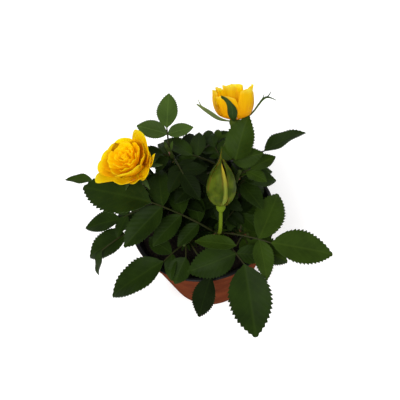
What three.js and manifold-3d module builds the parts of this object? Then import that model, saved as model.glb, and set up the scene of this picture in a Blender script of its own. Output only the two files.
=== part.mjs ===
// A potted rose bush: a round pot filled with soil, ten canes that rise from the soil, the leaves that
// each cane carries, one open rose, one half-open rose and one bud.
// Millimetres, +Z up. The origin is the middle of the pot's flat underside, and -Y is the front.
import * as THREE from "three";
import { mergeVertices } from "three/addons/utils/BufferGeometryUtils.js";
import Module from "manifold-3d";

const wasm = await Module();
wasm.setup();

// Driving dimensions of the pot and the soil
const POT_HEIGHT = 90;
const RIM_RADIUS = 52.5;
const FOOT_RADIUS = 36;
const POT_WALL = 1.6;
const BAND_HEIGHT = 13;
const BAND_STEP = 1.4;
const FLOOR_THICKNESS = 2.4;
const SOIL_LEVEL = 78;
const POT_SIDES = 40;
const POT_EDGE = 0.8;
const SOIL_SLOPE = 4;
const SOIL_DROP = 2;
const GAP = 0.3;
const SLIVER = 0.08;
const DRAIN_HOLES = 6;
const DRAIN_RADIUS = 3.5;
const DRAIN_CIRCLE = 22;

// Driving dimensions of the plant
const CANE_SIDES = 6;
const CANE_STEPS = 4;
const CANE_UPRIGHT = 0.45;
const STEM_SIDES = 5;
const STEM_STEPS = 5;
const STALK_SIDES = 3;
const STALK_STEPS = 4;
const STALK_RADIUS = [0.95, 0.6];
const STALK_BEND = 0.45;
const STALK_BOW = 0.16;
const STALK_BARE = 0.15;
const ROOT_SINK = 0.8;
const LEAF_THICKNESS = 0.026;
const LEAF_FOLD = 0.3;
const LEAF_DROOP = 0.1;
const LEAF_WIDTH = 0.58;
const PAIR_SPREAD = 62;
const FIRST_PAIR = 0.18;
const NEXT_PAIR = 0.32;
const FIVE_LEAFLETS = [0.84, 0.84, 0.62, 0.62];
const PETAL_THICKNESS = 0.8;
const PETAL_ROUNDING = 0.14;
const PETAL_NECK = 0.4;
const PETAL_SHOULDER = 0.6;
const PETAL_ROWS = 3;
const PETAL_COLUMNS = 3;
const SEPAL_SHEET = { narrow: 0.9, droop: 0, thick: 0.9 };
const HIP_DEPTH = 5;
const HIP_SIDES = 10;
const HIP_PROFILE = [[0, -HIP_DEPTH], [1.6, -4.6], [2.9, -2.6], [3.2, -0.8], [2.2, 1], [0, 1.4]];
const FLOWER_STEM_RADIUS = 1.1;
const GOLDEN_TURN = 137.5;
const CLEARANCE = 3.8;
const LIMB_CLEARANCE = 3;
const LIMB_PLACES = 12;
const ATTEMPTS = 60;
const FILL = {
  swing: [-50, 50],
  turn: [-20, 20],
  roll: [-15, 15],
  reach: [8, 20],
  rise: [2, 12],
  pitch: [-28, 2],
  length: [17, 28],
};
const CROWN_REACH = 65;
const CROWN_FLOOR = 82;
const SEED = 12;

// Colours
const COLOURS = {
  pot: 0xa8553a,
  soil: 0x2b211b,
  cane: 0x4c4a26,
  leaf: 0x2f4d20,
  petal: 0xf7c41c,
  bud: 0x93a83c,
};

// Each cane rises from its foot on the soil to its top, and its leaves begin at the height "enter".
const CANES = [
  { name: "bud", foot: [5, -17], top: [8.5, -30, 113], enter: 92, thick: [1.9, 1.3], fill: 0 },
  { name: "left", foot: [-15, 0], top: [-35, -2, 147], enter: 100, thick: [2.1, 1.3], fill: 2 },
  { name: "back", foot: [8, 8], top: [20.7, 10, 150], enter: 104, thick: [2.2, 1.3], fill: 1 },
  { name: "back_left", foot: [-7, 14], top: [-15, 7, 164], enter: 106, thick: [2, 1.1], fill: 2 },
  { name: "right", foot: [19, -3], top: [27, -8, 147], enter: 98, thick: [2, 1.2], fill: 2 },
  { name: "front_right", foot: [17, -18], top: [27, -34, 112], enter: 90, thick: [1.8, 1.1], fill: 1 },
  { name: "front_left", foot: [-8, -18], top: [-15, -33, 110], enter: 90, thick: [1.8, 1.1], fill: 1 },
  { name: "rear", foot: [3, 24], top: [4, 31, 122], enter: 96, thick: [1.9, 1.1], fill: 6 },
  { name: "rear_left", foot: [-21, 15], top: [-34, 26, 124], enter: 94, thick: [1.8, 1.1], fill: 6 },
  { name: "rear_right", foot: [21, 14], top: [36, 26, 128], enter: 94, thick: [1.8, 1.1], fill: 6 },
];

// A compound leaf leaves its cane at the height "node". Its stalk runs "reach" out towards "bearing" and
// "rise" up. Its end leaflet is "length" long and points to "aim" at "pitch". "sides" gives the side
// leaflets as shares of that length, left and right in turn, from the end back. Angles are in degrees.
function leaf(cane, node, bearing, reach, rise, aim, pitch, length, more = {}) {
  const plain = { roll: 0, wide: LEAF_WIDTH, spread: PAIR_SPREAD, sides: [] };
  return { ...plain, cane, node, bearing, reach, rise, aim, pitch, length, ...more };
}

// The leaves that show from the front.
const LEAVES = [
  leaf("bud", 103, 177, 36, 47, 151, -5, 51, {
    wide: 0.54,
    roll: -12,
    sides: [0.66, 0.55, 0.52, 0.48, 0.4, 0.44],
  }),
  leaf("bud", 107, -64, 31, 5, -90, -25, 46, { wide: 0.61, spread: 78, sides: [0.45, 0.72] }),
  leaf("bud", 110, -27, 36, 6, -13, -14, 42, { wide: 0.54, roll: 11, spread: 72, sides: [0.88, 0.62] }),
  leaf("left", 108, -146, 38, 6, -173, -19, 33, { wide: 0.62, sides: [0.35, 0.66, 0.4, 0.6] }),
  leaf("left", 116, -160, 34, 4, 174, -13, 27, { wide: 0.58, sides: [0.6, 0.85] }),
  leaf("left", 104, -150, 58, 9, -140, -57, 25, { wide: 0.25 }),
  leaf("left", 130, 166, 41, 8, 163, 4, 19, { wide: 0.46, roll: 15 }),
  leaf("back", 132, -169, 16, 20, 131, -3, 26, { wide: 0.46, spread: 50, sides: [0.6, 0.85] }),
  leaf("back", 136, -60, 17, 20, 57, 50, 27, { wide: 0.7, sides: [0.4, 0.72] }),
  leaf("back", 134, -16, 29, 17, 17, 15, 28, { wide: 0.52, roll: -20 }),
  leaf("back", 126, -121, 17, 19, -150, -8, 25, { wide: 0.7, sides: [0.45, 0.85] }),
  leaf("back_left", 157, 80, 6, 15, 79, 20, 23, { wide: 0.58, spread: 72, sides: [0.9, 0.7] }),
  leaf("back_left", 147, 172, 6, 6, 168, -4, 19, { wide: 0.6, sides: [0.7, 0.55] }),
  leaf("back_left", 110, -90, 10, 8, -105, -12, 18, { wide: 0.66, sides: [0.85, 0.85] }),
  leaf("right", 120, 0, 8, 12, 4, -15, 23, { wide: 0.66, sides: [0.9, 0.95] }),
  leaf("right", 141, -3, 8, 6, 21, 6, 18, { wide: 0.66, sides: [0.55, 0.8] }),
  leaf("right", 112, -145, 11, 10, -175, -8, 16, { wide: 0.62, sides: [0.8, 0.85] }),
  leaf("front_right", 106, -80, 10, 3, -24, -18, 30, { wide: 0.68, sides: [0.5, 0.6] }),
  leaf("front_right", 104, 70, 16, 10, 50, -6, 24, { wide: 0.6, spread: 45, sides: [0.5, 0.8] }),
  leaf("front_right", 108, -118, 15, 11, 160, 0, 27, { wide: 0.42 }),
  leaf("front_left", 98, -139, 25, 8, -165, -18, 44, { wide: 0.52, sides: [0.4, 0.54] }),
  leaf("front_left", 101, -68, 29, -3, -125, -42, 31, { wide: 0.52 }),
  leaf("front_left", 106, -97, 11, 1, -128, -25, 19, { wide: 0.85 }),
  leaf("front_left", 104, 80, 9, 9, 88, -8, 19, { wide: 0.62, sides: [0.8, 0.8] }),
  leaf("front_right", 100, 128, 9, 7, 120, -10, 20, { wide: 0.7, sides: [0.6, 0.6] }),
];

// The flowers. Each grows on from the top of its cane to its foot, where its axis leans by "lean" from
// upright towards "bearing". The turns of its sepals and petals are degrees round that axis.
const FLOWERS = [
  {
    name: "open_rose",
    colour: COLOURS.petal,
    cane: "left",
    foot: [-35, -2.9, 161.4],
    lean: 18,
    bearing: 190,
    sepals: [0, 72, 144, 216, 288].map((turn) => ({ turn, pitch: -20, length: 14 })),
    rings: [
      {
        turn: 191,
        half: 28,
        droop: 0.5,
        point: 0.3,
        skew: 2.6,
        midline: [[1.5, 0], [10, 3], [17, 5.4], [23.8, 7.6]],
      },
      { turn: 156, half: 38, droop: 1, point: 0.2, midline: [[1.5, 0], [9, 3.5], [14, 7.6], [17.2, 11.6]] },
      { turn: 104, half: 44, droop: 1.2, midline: [[1.5, 0], [8.5, 4], [12, 9], [14, 12.8]] },
      { turn: 27, half: 42, droop: 1, point: 0.18, midline: [[1.5, 0], [9, 4], [13.6, 11], [16.8, 18.4]] },
      {
        turn: 327,
        half: 43,
        droop: 0.4,
        point: 0.16,
        skew: 4.5,
        midline: [[1.5, 0], [8, 2], [13, 4.6], [15.6, 8.4]],
      },
      { turn: 249, half: 32, droop: 0.5, midline: [[1.5, 0], [8.6, 2], [13.5, 5.8], [16.2, 10]] },
      { turn: 278, half: 22, droop: 1, point: 0.2, midline: [[1.5, 0], [8, 1], [12.5, 3.8], [16.2, 7.6]] },
      { turn: 275, half: 51, droop: 0.6, midline: [[1.5, 0.5], [7.2, 3], [11, 8.6], [12.9, 15]] },
      { count: 4, turn: 143, half: 46, droop: 0.5, midline: [[1.5, 0.5], [6.6, 4], [11, 9], [13.4, 13.4]] },
      { count: 4, turn: 50, half: 50, droop: -0.2, midline: [[1.2, 1], [4.2, 6.5], [6.8, 11.5], [8.6, 15]] },
      { count: 3, turn: 30, half: 64, droop: -0.6, midline: [[0.9, 1], [2, 7.5], [3.1, 12], [4.1, 15.6]] },
    ],
  },
  {
    name: "half_open_rose",
    colour: COLOURS.petal,
    cane: "back",
    foot: [27.7, 14, 170],
    lean: 47,
    bearing: 77,
    sepals: [],
    rings: [
      { turn: 90, half: 44, droop: 0.5, midline: [[1.5, 0], [8.4, 3], [11.6, 10], [11.4, 19]] },
      { turn: 172, half: 44, droop: 0.5, midline: [[1.5, 0], [9, 2.4], [13, 8.6], [13.4, 15.6]] },
      { turn: 12, half: 44, droop: 0.5, midline: [[1.5, 0], [8.6, 2.6], [11.4, 9.6], [10.8, 18]] },
      { turn: 312, half: 44, droop: 0.5, midline: [[1.5, 0], [8.8, 2.6], [11.4, 9.4], [11, 16.6]] },
      { turn: 231, half: 46, droop: 0.5, midline: [[1.5, 0], [9, 2.6], [12.5, 8.6], [13.4, 15]] },
      { count: 4, turn: -21, half: 48, droop: 0, midline: [[1.2, 1], [5.6, 5], [8.6, 12], [9.4, 18.6]] },
      { count: 3, turn: 40, half: 66, droop: -0.5, midline: [[0.8, 1], [2.4, 7], [3.4, 13], [3.6, 17.6]] },
      { turn: 254, half: 15, ...SEPAL_SHEET, midline: [[2, -1], [10, 2.2], [13.6, 8], [14.6, 12.6]] },
      { turn: 185, half: 15, ...SEPAL_SHEET, midline: [[2, -1], [9, 0.2], [16, 4], [22, 8]] },
      { turn: -5, half: 13, ...SEPAL_SHEET, midline: [[2.5, -1], [10, 4], [17, 12], [24.5, 12]] },
      { turn: 92, half: 16, ...SEPAL_SHEET, midline: [[2, -1], [9.4, 3], [12.6, 10], [11, 22]] },
      { turn: 40, half: 16, ...SEPAL_SHEET, midline: [[2, -1], [9.4, 3], [13.2, 9], [15, 14]] },
    ],
  },
  {
    name: "rose_bud",
    colour: COLOURS.bud,
    cane: "bud",
    foot: [12, -26.5, 142],
    lean: 29,
    bearing: 74,
    sepals: [],
    rings: [
      { count: 3, turn: 0, half: 58, droop: 0, midline: [[1, 0], [6.4, 5], [7, 15], [1.2, 28.5]] },
      ...[95, 27, 163, 235, 323].map((turn) => ({
        turn,
        half: 33,
        narrow: 0.8,
        droop: 0,
        thick: 1,
        midline: [[1.6, 0], [6.4, 3.6], [8.7, 11], [6.6, 20.5], [2.6, 27], [0.8, 31]],
      })),
    ],
  },
];

const vec = (x, y, z) => new THREE.Vector3(x, y, z);
const UP = vec(0, 0, 1);
const radians = THREE.MathUtils.degToRad;
const at = (origin, ...steps) =>
  steps.reduce((point, [axis, length]) => point.addScaledVector(axis, length), origin.clone());

// A closed surface: a fan to the first ring, a band between each two rings, and a fan from the last one.
// Each ring turns anticlockwise round the way the rings run.
function closedRings(first, rings, last) {
  const n = rings[0].length;
  const points = [first, ...rings.flat(), last];
  const lastRing = 1 + (rings.length - 1) * n;
  const index = [];
  for (let i = 0; i < n; i++) {
    const j = (i + 1) % n;
    index.push(0, 1 + j, 1 + i);
    for (let row = 1; row < lastRing; row += n) {
      index.push(row + i, row + j, row + n + j);
      index.push(row + i, row + n + j, row + n + i);
    }
    index.push(lastRing + i, lastRing + j, points.length - 1);
  }
  return new THREE.BufferGeometry().setFromPoints(points).setIndex(index);
}

function solidOf(geometry) {
  const bare = geometry.clone();
  bare.deleteAttribute("normal");
  bare.deleteAttribute("uv");
  const merged = mergeVertices(bare, 1e-4);
  const vertProperties = merged.attributes.position.array;
  const triVerts = new Uint32Array(merged.index.array);
  return new wasm.Manifold(new wasm.Mesh({ numProp: 3, vertProperties, triVerts }));
}

function geometryOf(solid) {
  const mesh = solid.getMesh();
  const geometry = new THREE.BufferGeometry();
  geometry.setAttribute("position", new THREE.BufferAttribute(mesh.vertProperties, 3));
  geometry.setIndex(new THREE.BufferAttribute(mesh.triVerts, 1));
  return geometry;
}

// The pieces joined into one body, with slivers merged, sealed hollows filled and loose scraps dropped.
function fused(pieces) {
  const whole = pieces.map(solidOf).reduce((sum, piece) => sum.add(piece)).simplify(SLIVER);
  const bodies = whole.decompose().sort((a, b) => b.volume() - a.volume());
  return geometryOf(bodies[0]);
}

// A round tube along a curve between two shares of its length, tapering from one radius to the other.
function taperedTube(curve, from, to, radii, sides, steps) {
  const rings = [];
  const centres = [];
  for (let k = 0; k <= steps; k++) {
    const share = k / steps;
    const t = from + (to - from) * share;
    const centre = curve.getPoint(t);
    const along = curve.getTangent(t);
    const across = vec(0, 1, 0).cross(along);
    if (across.length() < 0.2) across.copy(vec(1, 0, 0).cross(along));
    across.normalize();
    const over = along.clone().cross(across);
    const radius = THREE.MathUtils.lerp(radii[0], radii[1], share);
    const ring = [];
    for (let i = 0; i < sides; i++) {
      const turn = (2 * Math.PI * i) / sides;
      ring.push(at(centre, [across, radius * Math.cos(turn)], [over, radius * Math.sin(turn)]));
    }
    rings.push(ring);
    centres.push(centre);
  }
  return closedRings(centres[0], rings, centres[steps]);
}

// Three directions of a blade: along it, to its left and up from its face.
function bladeFrame(bearing, pitch, roll) {
  const b = radians(bearing);
  const p = radians(pitch);
  const r = radians(roll);
  const along = vec(Math.cos(p) * Math.cos(b), Math.cos(p) * Math.sin(b), Math.sin(p));
  const level = vec(-Math.sin(b), Math.cos(b), 0);
  const upright = along.clone().cross(level);
  const left = at(vec(0, 0, 0), [level, Math.cos(r)], [upright, Math.sin(r)]);
  return { along, left, up: along.clone().cross(left) };
}

// Half the width of a leaflet at each station, as a share of the greatest.
const OUTLINE = [
  [0.05, 0.06],
  [0.2, 0.72],
  [0.45, 1],
  [0.78, 0.6],
];

function bladePoint(blade, station, side) {
  const { root, frame, length, width, droop = LEAF_DROOP } = blade;
  const reach = length * station;
  const half = side * width * 0.5;
  const lift = Math.abs(half) * LEAF_FOLD - droop * length * station * station;
  return at(root, [frame.along, reach], [frame.left, half], [frame.up, lift]);
}

// A leaflet: a thin blade, thickest at its midrib and folded up a little along it.
function leaflet(blade) {
  const { root, frame, length } = blade;
  const half = 0.5 * LEAF_THICKNESS * length;
  const rings = OUTLINE.map(([station, share]) => {
    const middle = bladePoint(blade, station, 0);
    return [
      bladePoint(blade, station, share),
      at(middle, [frame.up, half]),
      bladePoint(blade, station, -share),
      at(middle, [frame.up, -half]),
    ];
  });
  return closedRings(at(root, [frame.along, -ROOT_SINK]), rings, bladePoint(blade, 1, 0));
}

// Places on a leaflet, for telling whether two leaflets would touch.
function probes(blade) {
  const points = [];
  for (const station of [0.15, 0.35, 0.55, 0.75, 0.95]) {
    for (const side of [-0.7, 0, 0.7]) points.push(bladePoint(blade, station, side));
  }
  return points;
}

function caneCurve({ foot, top }) {
  const start = vec(foot[0], foot[1], SOIL_LEVEL + GAP);
  const end = vec(...top);
  const middle = vec(foot[0], foot[1], THREE.MathUtils.lerp(start.z, end.z, CANE_UPRIGHT));
  return new THREE.QuadraticBezierCurve3(start, middle, end);
}

// The share of a cane's curve at which it reaches a height.
function shareAtHeight(curve, height) {
  let low = 0;
  let high = 1;
  for (let k = 0; k < 40; k++) {
    const middle = (low + high) / 2;
    if (curve.getPoint(middle).z < height) low = middle;
    else high = middle;
  }
  return low;
}

// A compound leaf: the curve of its stalk, and its leaflets from the end one back to the cane.
function compoundLeaf(curve, plan) {
  const foot = curve.getPoint(shareAtHeight(curve, plan.node));
  const bearing = radians(plan.bearing);
  const outward = vec(Math.cos(bearing), Math.sin(bearing), 0);
  const end = at(foot, [outward, plan.reach], [UP, plan.rise]);
  const bend = foot.clone().lerp(end, STALK_BEND);
  bend.z += STALK_BOW * plan.reach;
  const stalk = new THREE.QuadraticBezierCurve3(foot, bend, end);
  const frame = bladeFrame(plan.aim, plan.pitch, plan.roll);
  const blades = [{ root: end, frame, length: plan.length, width: plan.length * plan.wide }];
  const span = foot.distanceTo(end);
  plan.sides.forEach((share, k) => {
    const turn = radians(plan.spread) * (k % 2 === 0 ? 1 : -1);
    const along = at(vec(0, 0, 0), [frame.along, Math.cos(turn)], [frame.left, Math.sin(turn)]);
    const left = frame.up.clone().cross(along);
    const back = (FIRST_PAIR + NEXT_PAIR * Math.floor(k / 2)) * plan.length;
    const place = stalk.getPoint(Math.max(STALK_BARE, 1 - back / span));
    const length = plan.length * share;
    const width = length * plan.wide;
    blades.push({ root: place, frame: { along, left, up: frame.up }, length, width });
  });
  return { stalk, blades };
}

// The same run of numbers every time, each between two limits.
let state = SEED;
function chance(low, high) {
  state = (state * 16807) % 2147483647;
  return low + ((high - low) * state) / 2147483647;
}

const canes = CANES.map((cane) => ({ ...cane, curve: caneCurve(cane), grown: [] }));
const caneNamed = (name) => canes.find((cane) => cane.name === name);
const bladePlaces = [];
const limbPlaces = canes.flatMap((cane) => cane.curve.getPoints(2 * LIMB_PLACES));

function clear(point) {
  return (
    Math.hypot(point.x, point.y) < CROWN_REACH &&
    point.z > CROWN_FLOOR &&
    bladePlaces.every((place) => point.distanceTo(place) > CLEARANCE) &&
    limbPlaces.every((place) => point.distanceTo(place) > LIMB_CLEARANCE)
  );
}

// Whether a leaf's blades and the outer half of its stalk stay clear of all that has grown.
function fits({ stalk, blades }) {
  const outer = stalk.getPoints(LIMB_PLACES).slice(LIMB_PLACES / 2);
  return [...outer, ...blades.flatMap(probes)].every(clear);
}

function keep(cane, grown) {
  cane.grown.push(grown);
  limbPlaces.push(...grown.stalk.getPoints(LIMB_PLACES));
  bladePlaces.push(...grown.blades.flatMap(probes));
}

for (const leaf of LEAVES) {
  const cane = caneNamed(leaf.cane);
  keep(cane, compoundLeaf(cane.curve, leaf));
}

// The leaves that the front ones hide: each a golden turn on from the last, and skipped where it would
// leave the crown or touch another leaf.
for (const cane of canes) {
  const outward = THREE.MathUtils.radToDeg(Math.atan2(cane.top[1], cane.top[0]));
  for (let k = 0; k < cane.fill; k++) {
    const share = (k + 0.5) / cane.fill;
    for (let attempt = 0; attempt < ATTEMPTS; attempt++) {
      const bearing = outward + GOLDEN_TURN * k + chance(...FILL.swing);
      const node = THREE.MathUtils.lerp(cane.enter + 3, cane.top[2] - 2, share);
      const aim = bearing + chance(...FILL.turn);
      const more = { roll: chance(...FILL.roll), sides: FIVE_LEAFLETS };
      const reach = chance(...FILL.reach);
      const rise = chance(...FILL.rise);
      const pitch = chance(...FILL.pitch);
      const length = chance(...FILL.length);
      const next = leaf(cane.name, node, bearing, reach, rise, aim, pitch, length, more);
      const grown = compoundLeaf(cane.curve, next);
      if (!fits(grown)) continue;
      keep(cane, grown);
      break;
    }
  }
}

function caneMesh(cane) {
  const end = shareAtHeight(cane.curve, cane.enter);
  const tip = THREE.MathUtils.lerp(cane.thick[0], cane.thick[1], end);
  return taperedTube(cane.curve, 0, end, [cane.thick[0], tip], CANE_SIDES, CANE_STEPS);
}

function leavesMesh(cane) {
  const start = shareAtHeight(cane.curve, cane.enter + GAP);
  const foot = THREE.MathUtils.lerp(cane.thick[0], cane.thick[1], start);
  const pieces = [
    taperedTube(cane.curve, start, 1, [foot, cane.thick[1]], STEM_SIDES, STEM_STEPS),
  ];
  for (const { stalk, blades } of cane.grown) {
    pieces.push(taperedTube(stalk, 0, 1, STALK_RADIUS, STALK_SIDES, STALK_STEPS));
    for (const blade of blades) pieces.push(leaflet(blade));
  }
  return fused(pieces);
}

// A curved sheet with a thickness: its outer and inner faces and the four edges between them.
// "surface" gives the point at u from -1 to 1 across it, v from 0 to 1 up it, and on which face.
function sheet(rows, columns, surface) {
  const points = [];
  const index = [];
  const outer = (row, column) => row * (columns + 1) + column;
  const inner = (row, column) => (rows + 1) * (columns + 1) + outer(row, column);
  const quad = (a, b, c, d) => index.push(a, b, c, a, c, d);
  for (const face of [0.5, -0.5]) {
    for (let row = 0; row <= rows; row++) {
      for (let column = 0; column <= columns; column++) {
        points.push(surface((2 * column) / columns - 1, row / rows, face));
      }
    }
  }
  for (let r = 0; r < rows; r++) {
    for (let c = 0; c < columns; c++) {
      quad(outer(r, c), outer(r, c + 1), outer(r + 1, c + 1), outer(r + 1, c));
      quad(inner(r, c), inner(r + 1, c), inner(r + 1, c + 1), inner(r, c + 1));
    }
    quad(outer(r, 0), outer(r + 1, 0), inner(r + 1, 0), inner(r, 0));
    quad(outer(r, columns), inner(r, columns), inner(r + 1, columns), outer(r + 1, columns));
  }
  for (let c = 0; c < columns; c++) {
    quad(outer(0, c), inner(0, c), inner(0, c + 1), outer(0, c + 1));
    quad(outer(rows, c), outer(rows, c + 1), inner(rows, c + 1), inner(rows, c));
  }
  return new THREE.BufferGeometry().setFromPoints(points).setIndex(index);
}

// A petal, or a sepal that clasps a bud. Its midline runs up through points of [distance from the axis,
// height], and its sides wrap round the axis by "half" degrees each way, narrowing above the middle.
function petal(midline, turn, shape) {
  const { half, narrow = 0.25, droop = 1, thick = PETAL_THICKNESS, point = PETAL_ROUNDING, skew = 0 } = shape;
  const line = new THREE.SplineCurve(midline.map(([r, z]) => new THREE.Vector2(r, z)));
  return sheet(PETAL_ROWS, PETAL_COLUMNS, (u, v, face) => {
    const reach = v * (1 - point * u * u * v);
    const middle = line.getPoint(reach);
    const slope = line.getTangent(reach);
    const radius = middle.x + slope.y * thick * face;
    const height = middle.y - slope.x * thick * face - droop * u * u * v + skew * u * v * v;
    const widening = Math.sin(Math.min(1, v / PETAL_SHOULDER) * 0.5 * Math.PI);
    const opening = THREE.MathUtils.lerp(PETAL_NECK, 1, widening);
    const closing = 1 - narrow * (Math.max(0, v - PETAL_NECK) / (1 - PETAL_NECK)) ** 1.5;
    const angle = radians(turn + u * half * opening * closing);
    return vec(radius * Math.cos(angle), radius * Math.sin(angle), height);
  });
}

// A flower: the stem that carries it on from its cane, its hip, its sepals and its rings of petals.
function flowerMesh(flower) {
  const b = radians(flower.bearing);
  const lean = radians(flower.lean);
  const axis = vec(Math.sin(lean) * Math.cos(b), Math.sin(lean) * Math.sin(b), Math.cos(lean));
  const place = new THREE.Matrix4().makeRotationFromQuaternion(
    new THREE.Quaternion().setFromUnitVectors(UP, axis),
  );
  const foot = vec(...flower.foot);
  place.setPosition(foot);
  const cane = caneNamed(flower.cane);
  const start = vec(...cane.top).addScaledVector(cane.curve.getTangent(1), GAP);
  const joint = at(foot, [axis, -HIP_DEPTH / 2]);
  const bend = start.distanceTo(joint) / 3;
  const stem = new THREE.CubicBezierCurve3(
    start,
    at(start, [cane.curve.getTangent(1), bend]),
    at(joint, [axis, -bend]),
    joint,
  );
  const hip = HIP_PROFILE.map(([r, z]) => new THREE.Vector2(r, z));
  const pieces = [new THREE.LatheGeometry(hip, HIP_SIDES).rotateX(Math.PI / 2)];
  for (const { turn, pitch, length, wide = 0.24, droop } of flower.sepals) {
    const frame = bladeFrame(turn, pitch, 0);
    const sepalRoot = at(vec(0, 0, -ROOT_SINK), [frame.along, ROOT_SINK]);
    pieces.push(leaflet({ root: sepalRoot, frame, length, width: length * wide, droop }));
  }
  for (const ring of flower.rings) {
    const { count = 1, turn, midline } = ring;
    for (let k = 0; k < count; k++) pieces.push(petal(midline, turn + (360 * k) / count, ring));
  }
  for (const piece of pieces) piece.applyMatrix4(place);
  pieces.push(taperedTube(stem, 0, 1, [cane.thick[1], FLOWER_STEM_RADIUS], STEM_SIDES, STEM_STEPS));
  return fused(pieces);
}

const root = new THREE.Group();
function addMesh(name, geometry, colour, roughness) {
  const material = new THREE.MeshStandardMaterial({ color: colour, roughness, metalness: 0 });
  const mesh = new THREE.Mesh(geometry, material);
  mesh.name = name;
  root.add(mesh);
}

// The pot: a tapered wall with a band under its rim and drain holes in its floor.
function potGeometry() {
  const bandFoot = POT_HEIGHT - BAND_HEIGHT;
  const outerAt = (z) => THREE.MathUtils.lerp(FOOT_RADIUS, RIM_RADIUS - BAND_STEP, z / POT_HEIGHT);
  const profile = [
    [0, 0],
    [FOOT_RADIUS - POT_EDGE, 0],
    [FOOT_RADIUS, POT_EDGE],
    [outerAt(bandFoot), bandFoot],
    [outerAt(bandFoot) + BAND_STEP, bandFoot + BAND_STEP],
    [RIM_RADIUS, POT_HEIGHT - POT_EDGE],
    [RIM_RADIUS - POT_EDGE, POT_HEIGHT],
    [RIM_RADIUS - BAND_STEP - POT_WALL, POT_HEIGHT],
    [FOOT_RADIUS - POT_WALL, FLOOR_THICKNESS],
    [0, FLOOR_THICKNESS],
  ].map(([r, z]) => new THREE.Vector2(r, z));
  const pot = solidOf(new THREE.LatheGeometry(profile, POT_SIDES).rotateX(Math.PI / 2));
  let drained = pot;
  for (let k = 0; k < DRAIN_HOLES; k++) {
    const turn = (2 * Math.PI * k) / DRAIN_HOLES;
    const hole = new THREE.CylinderGeometry(DRAIN_RADIUS, DRAIN_RADIUS, 4 * FLOOR_THICKNESS, 12)
      .rotateX(Math.PI / 2)
      .translate(DRAIN_CIRCLE * Math.cos(turn), DRAIN_CIRCLE * Math.sin(turn), 0);
    drained = drained.subtract(solidOf(hole));
  }
  return geometryOf(drained);
}

function soilGeometry() {
  const innerAt = (z) =>
    THREE.MathUtils.lerp(
      FOOT_RADIUS - POT_WALL,
      RIM_RADIUS - BAND_STEP - POT_WALL,
      (z - FLOOR_THICKNESS) / (POT_HEIGHT - FLOOR_THICKNESS),
    ) - GAP;
  const foot = FLOOR_THICKNESS + GAP;
  const profile = [
    [0, foot],
    [innerAt(foot), foot],
    [innerAt(SOIL_LEVEL - SOIL_DROP), SOIL_LEVEL - SOIL_DROP],
    [innerAt(SOIL_LEVEL - SOIL_DROP) - SOIL_SLOPE, SOIL_LEVEL],
    [0, SOIL_LEVEL],
  ].map(([r, z]) => new THREE.Vector2(r, z));
  return new THREE.LatheGeometry(profile, POT_SIDES).rotateX(Math.PI / 2);
}

addMesh("pot", potGeometry(), COLOURS.pot, 0.6);
addMesh("soil", soilGeometry(), COLOURS.soil, 0.95);
for (const cane of canes) {
  addMesh("cane_" + cane.name, caneMesh(cane), COLOURS.cane, 0.7);
  addMesh("leaves_" + cane.name, leavesMesh(cane), COLOURS.leaf, 0.6);
}
for (const flower of FLOWERS) addMesh(flower.name, flowerMesh(flower), flower.colour, 0.5);

export default root;
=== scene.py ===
# %% [markdown]
# # A small rose bush in its pot
#
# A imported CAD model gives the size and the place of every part. This lesson dresses it in Blender: the pot,
# the compost, the canes, some eighty leaves and three flowers. A plant is built by the rule that it grows
# by, so most of its shapes are modelled once and then dealt out along the canes.

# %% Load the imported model, and keep its box
from math import atan2, cos, degrees, hypot, inf, pi, radians, sin, sqrt

import bmesh
import bpy
import numpy as np
from mathutils import Matrix, Vector, noise
from numpy.linalg import norm


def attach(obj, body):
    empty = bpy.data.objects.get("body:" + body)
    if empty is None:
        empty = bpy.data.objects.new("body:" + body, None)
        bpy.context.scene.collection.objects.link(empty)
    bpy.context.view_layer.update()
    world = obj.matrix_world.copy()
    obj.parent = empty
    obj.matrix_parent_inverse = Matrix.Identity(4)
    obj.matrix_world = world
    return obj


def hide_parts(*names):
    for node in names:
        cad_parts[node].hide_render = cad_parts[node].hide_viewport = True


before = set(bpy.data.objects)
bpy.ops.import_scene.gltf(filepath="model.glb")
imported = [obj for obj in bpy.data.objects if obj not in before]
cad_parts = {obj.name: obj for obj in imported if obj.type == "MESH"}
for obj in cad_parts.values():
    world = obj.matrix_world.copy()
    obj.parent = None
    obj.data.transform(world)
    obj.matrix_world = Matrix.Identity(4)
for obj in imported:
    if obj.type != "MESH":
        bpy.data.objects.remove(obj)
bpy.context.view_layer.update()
scene = bpy.context.scene
MM = 0.001

# %% [markdown]
# ## The camera
# The picture was taken from the front and from high above, with the camera turned a little. A camera can be
# aimed with a constraint, or given its place and its two turns directly. The second way is used here,
# because the sideways turn (the roll) is then a plain number.

# %% Place the camera
CAMERA_PLACE = Vector((0, -183.5, 402.2)) * MM
CAMERA_ELEVATION = 58
CAMERA_ROLL = -9
CAMERA_LENS = 45.27

lens = bpy.data.cameras.new("camera")
lens.lens = CAMERA_LENS
camera = bpy.data.objects.new("camera", lens)
scene.collection.objects.link(camera)
tilt = Matrix.Rotation(radians(90 - CAMERA_ELEVATION), 4, "X")
roll = Matrix.Rotation(radians(CAMERA_ROLL), 4, "Z")
camera.matrix_world = Matrix.Translation(CAMERA_PLACE) @ tilt @ roll
scene.camera = camera
print("camera looks down by", CAMERA_ELEVATION, "degrees")

# %% [markdown]
# ## The studio
# A small plant is pictured on white paper under large, soft lamps. The lamps are area lights, whose size
# makes the shadows soft, and a pale world fills them. A sun lamp would draw hard edges on every leaf. The
# paper glows a little by itself, and the plain Standard view is used, so that it stays white.

# %% Lay the floor and hang the lamps
FLOOR_SIZE = 6.0
PAPER_GLOW = 0.22
ROOM_LIGHT = 0.42
LAMPS = [  # name, place, size, power
    ("key", (-0.35, -0.6, 1.0), 0.6, 11.0),
    ("fill", (0.8, -0.35, 0.7), 0.8, 2.6),
    ("back", (0.1, 0.8, 0.8), 0.9, 4.0),
]


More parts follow.
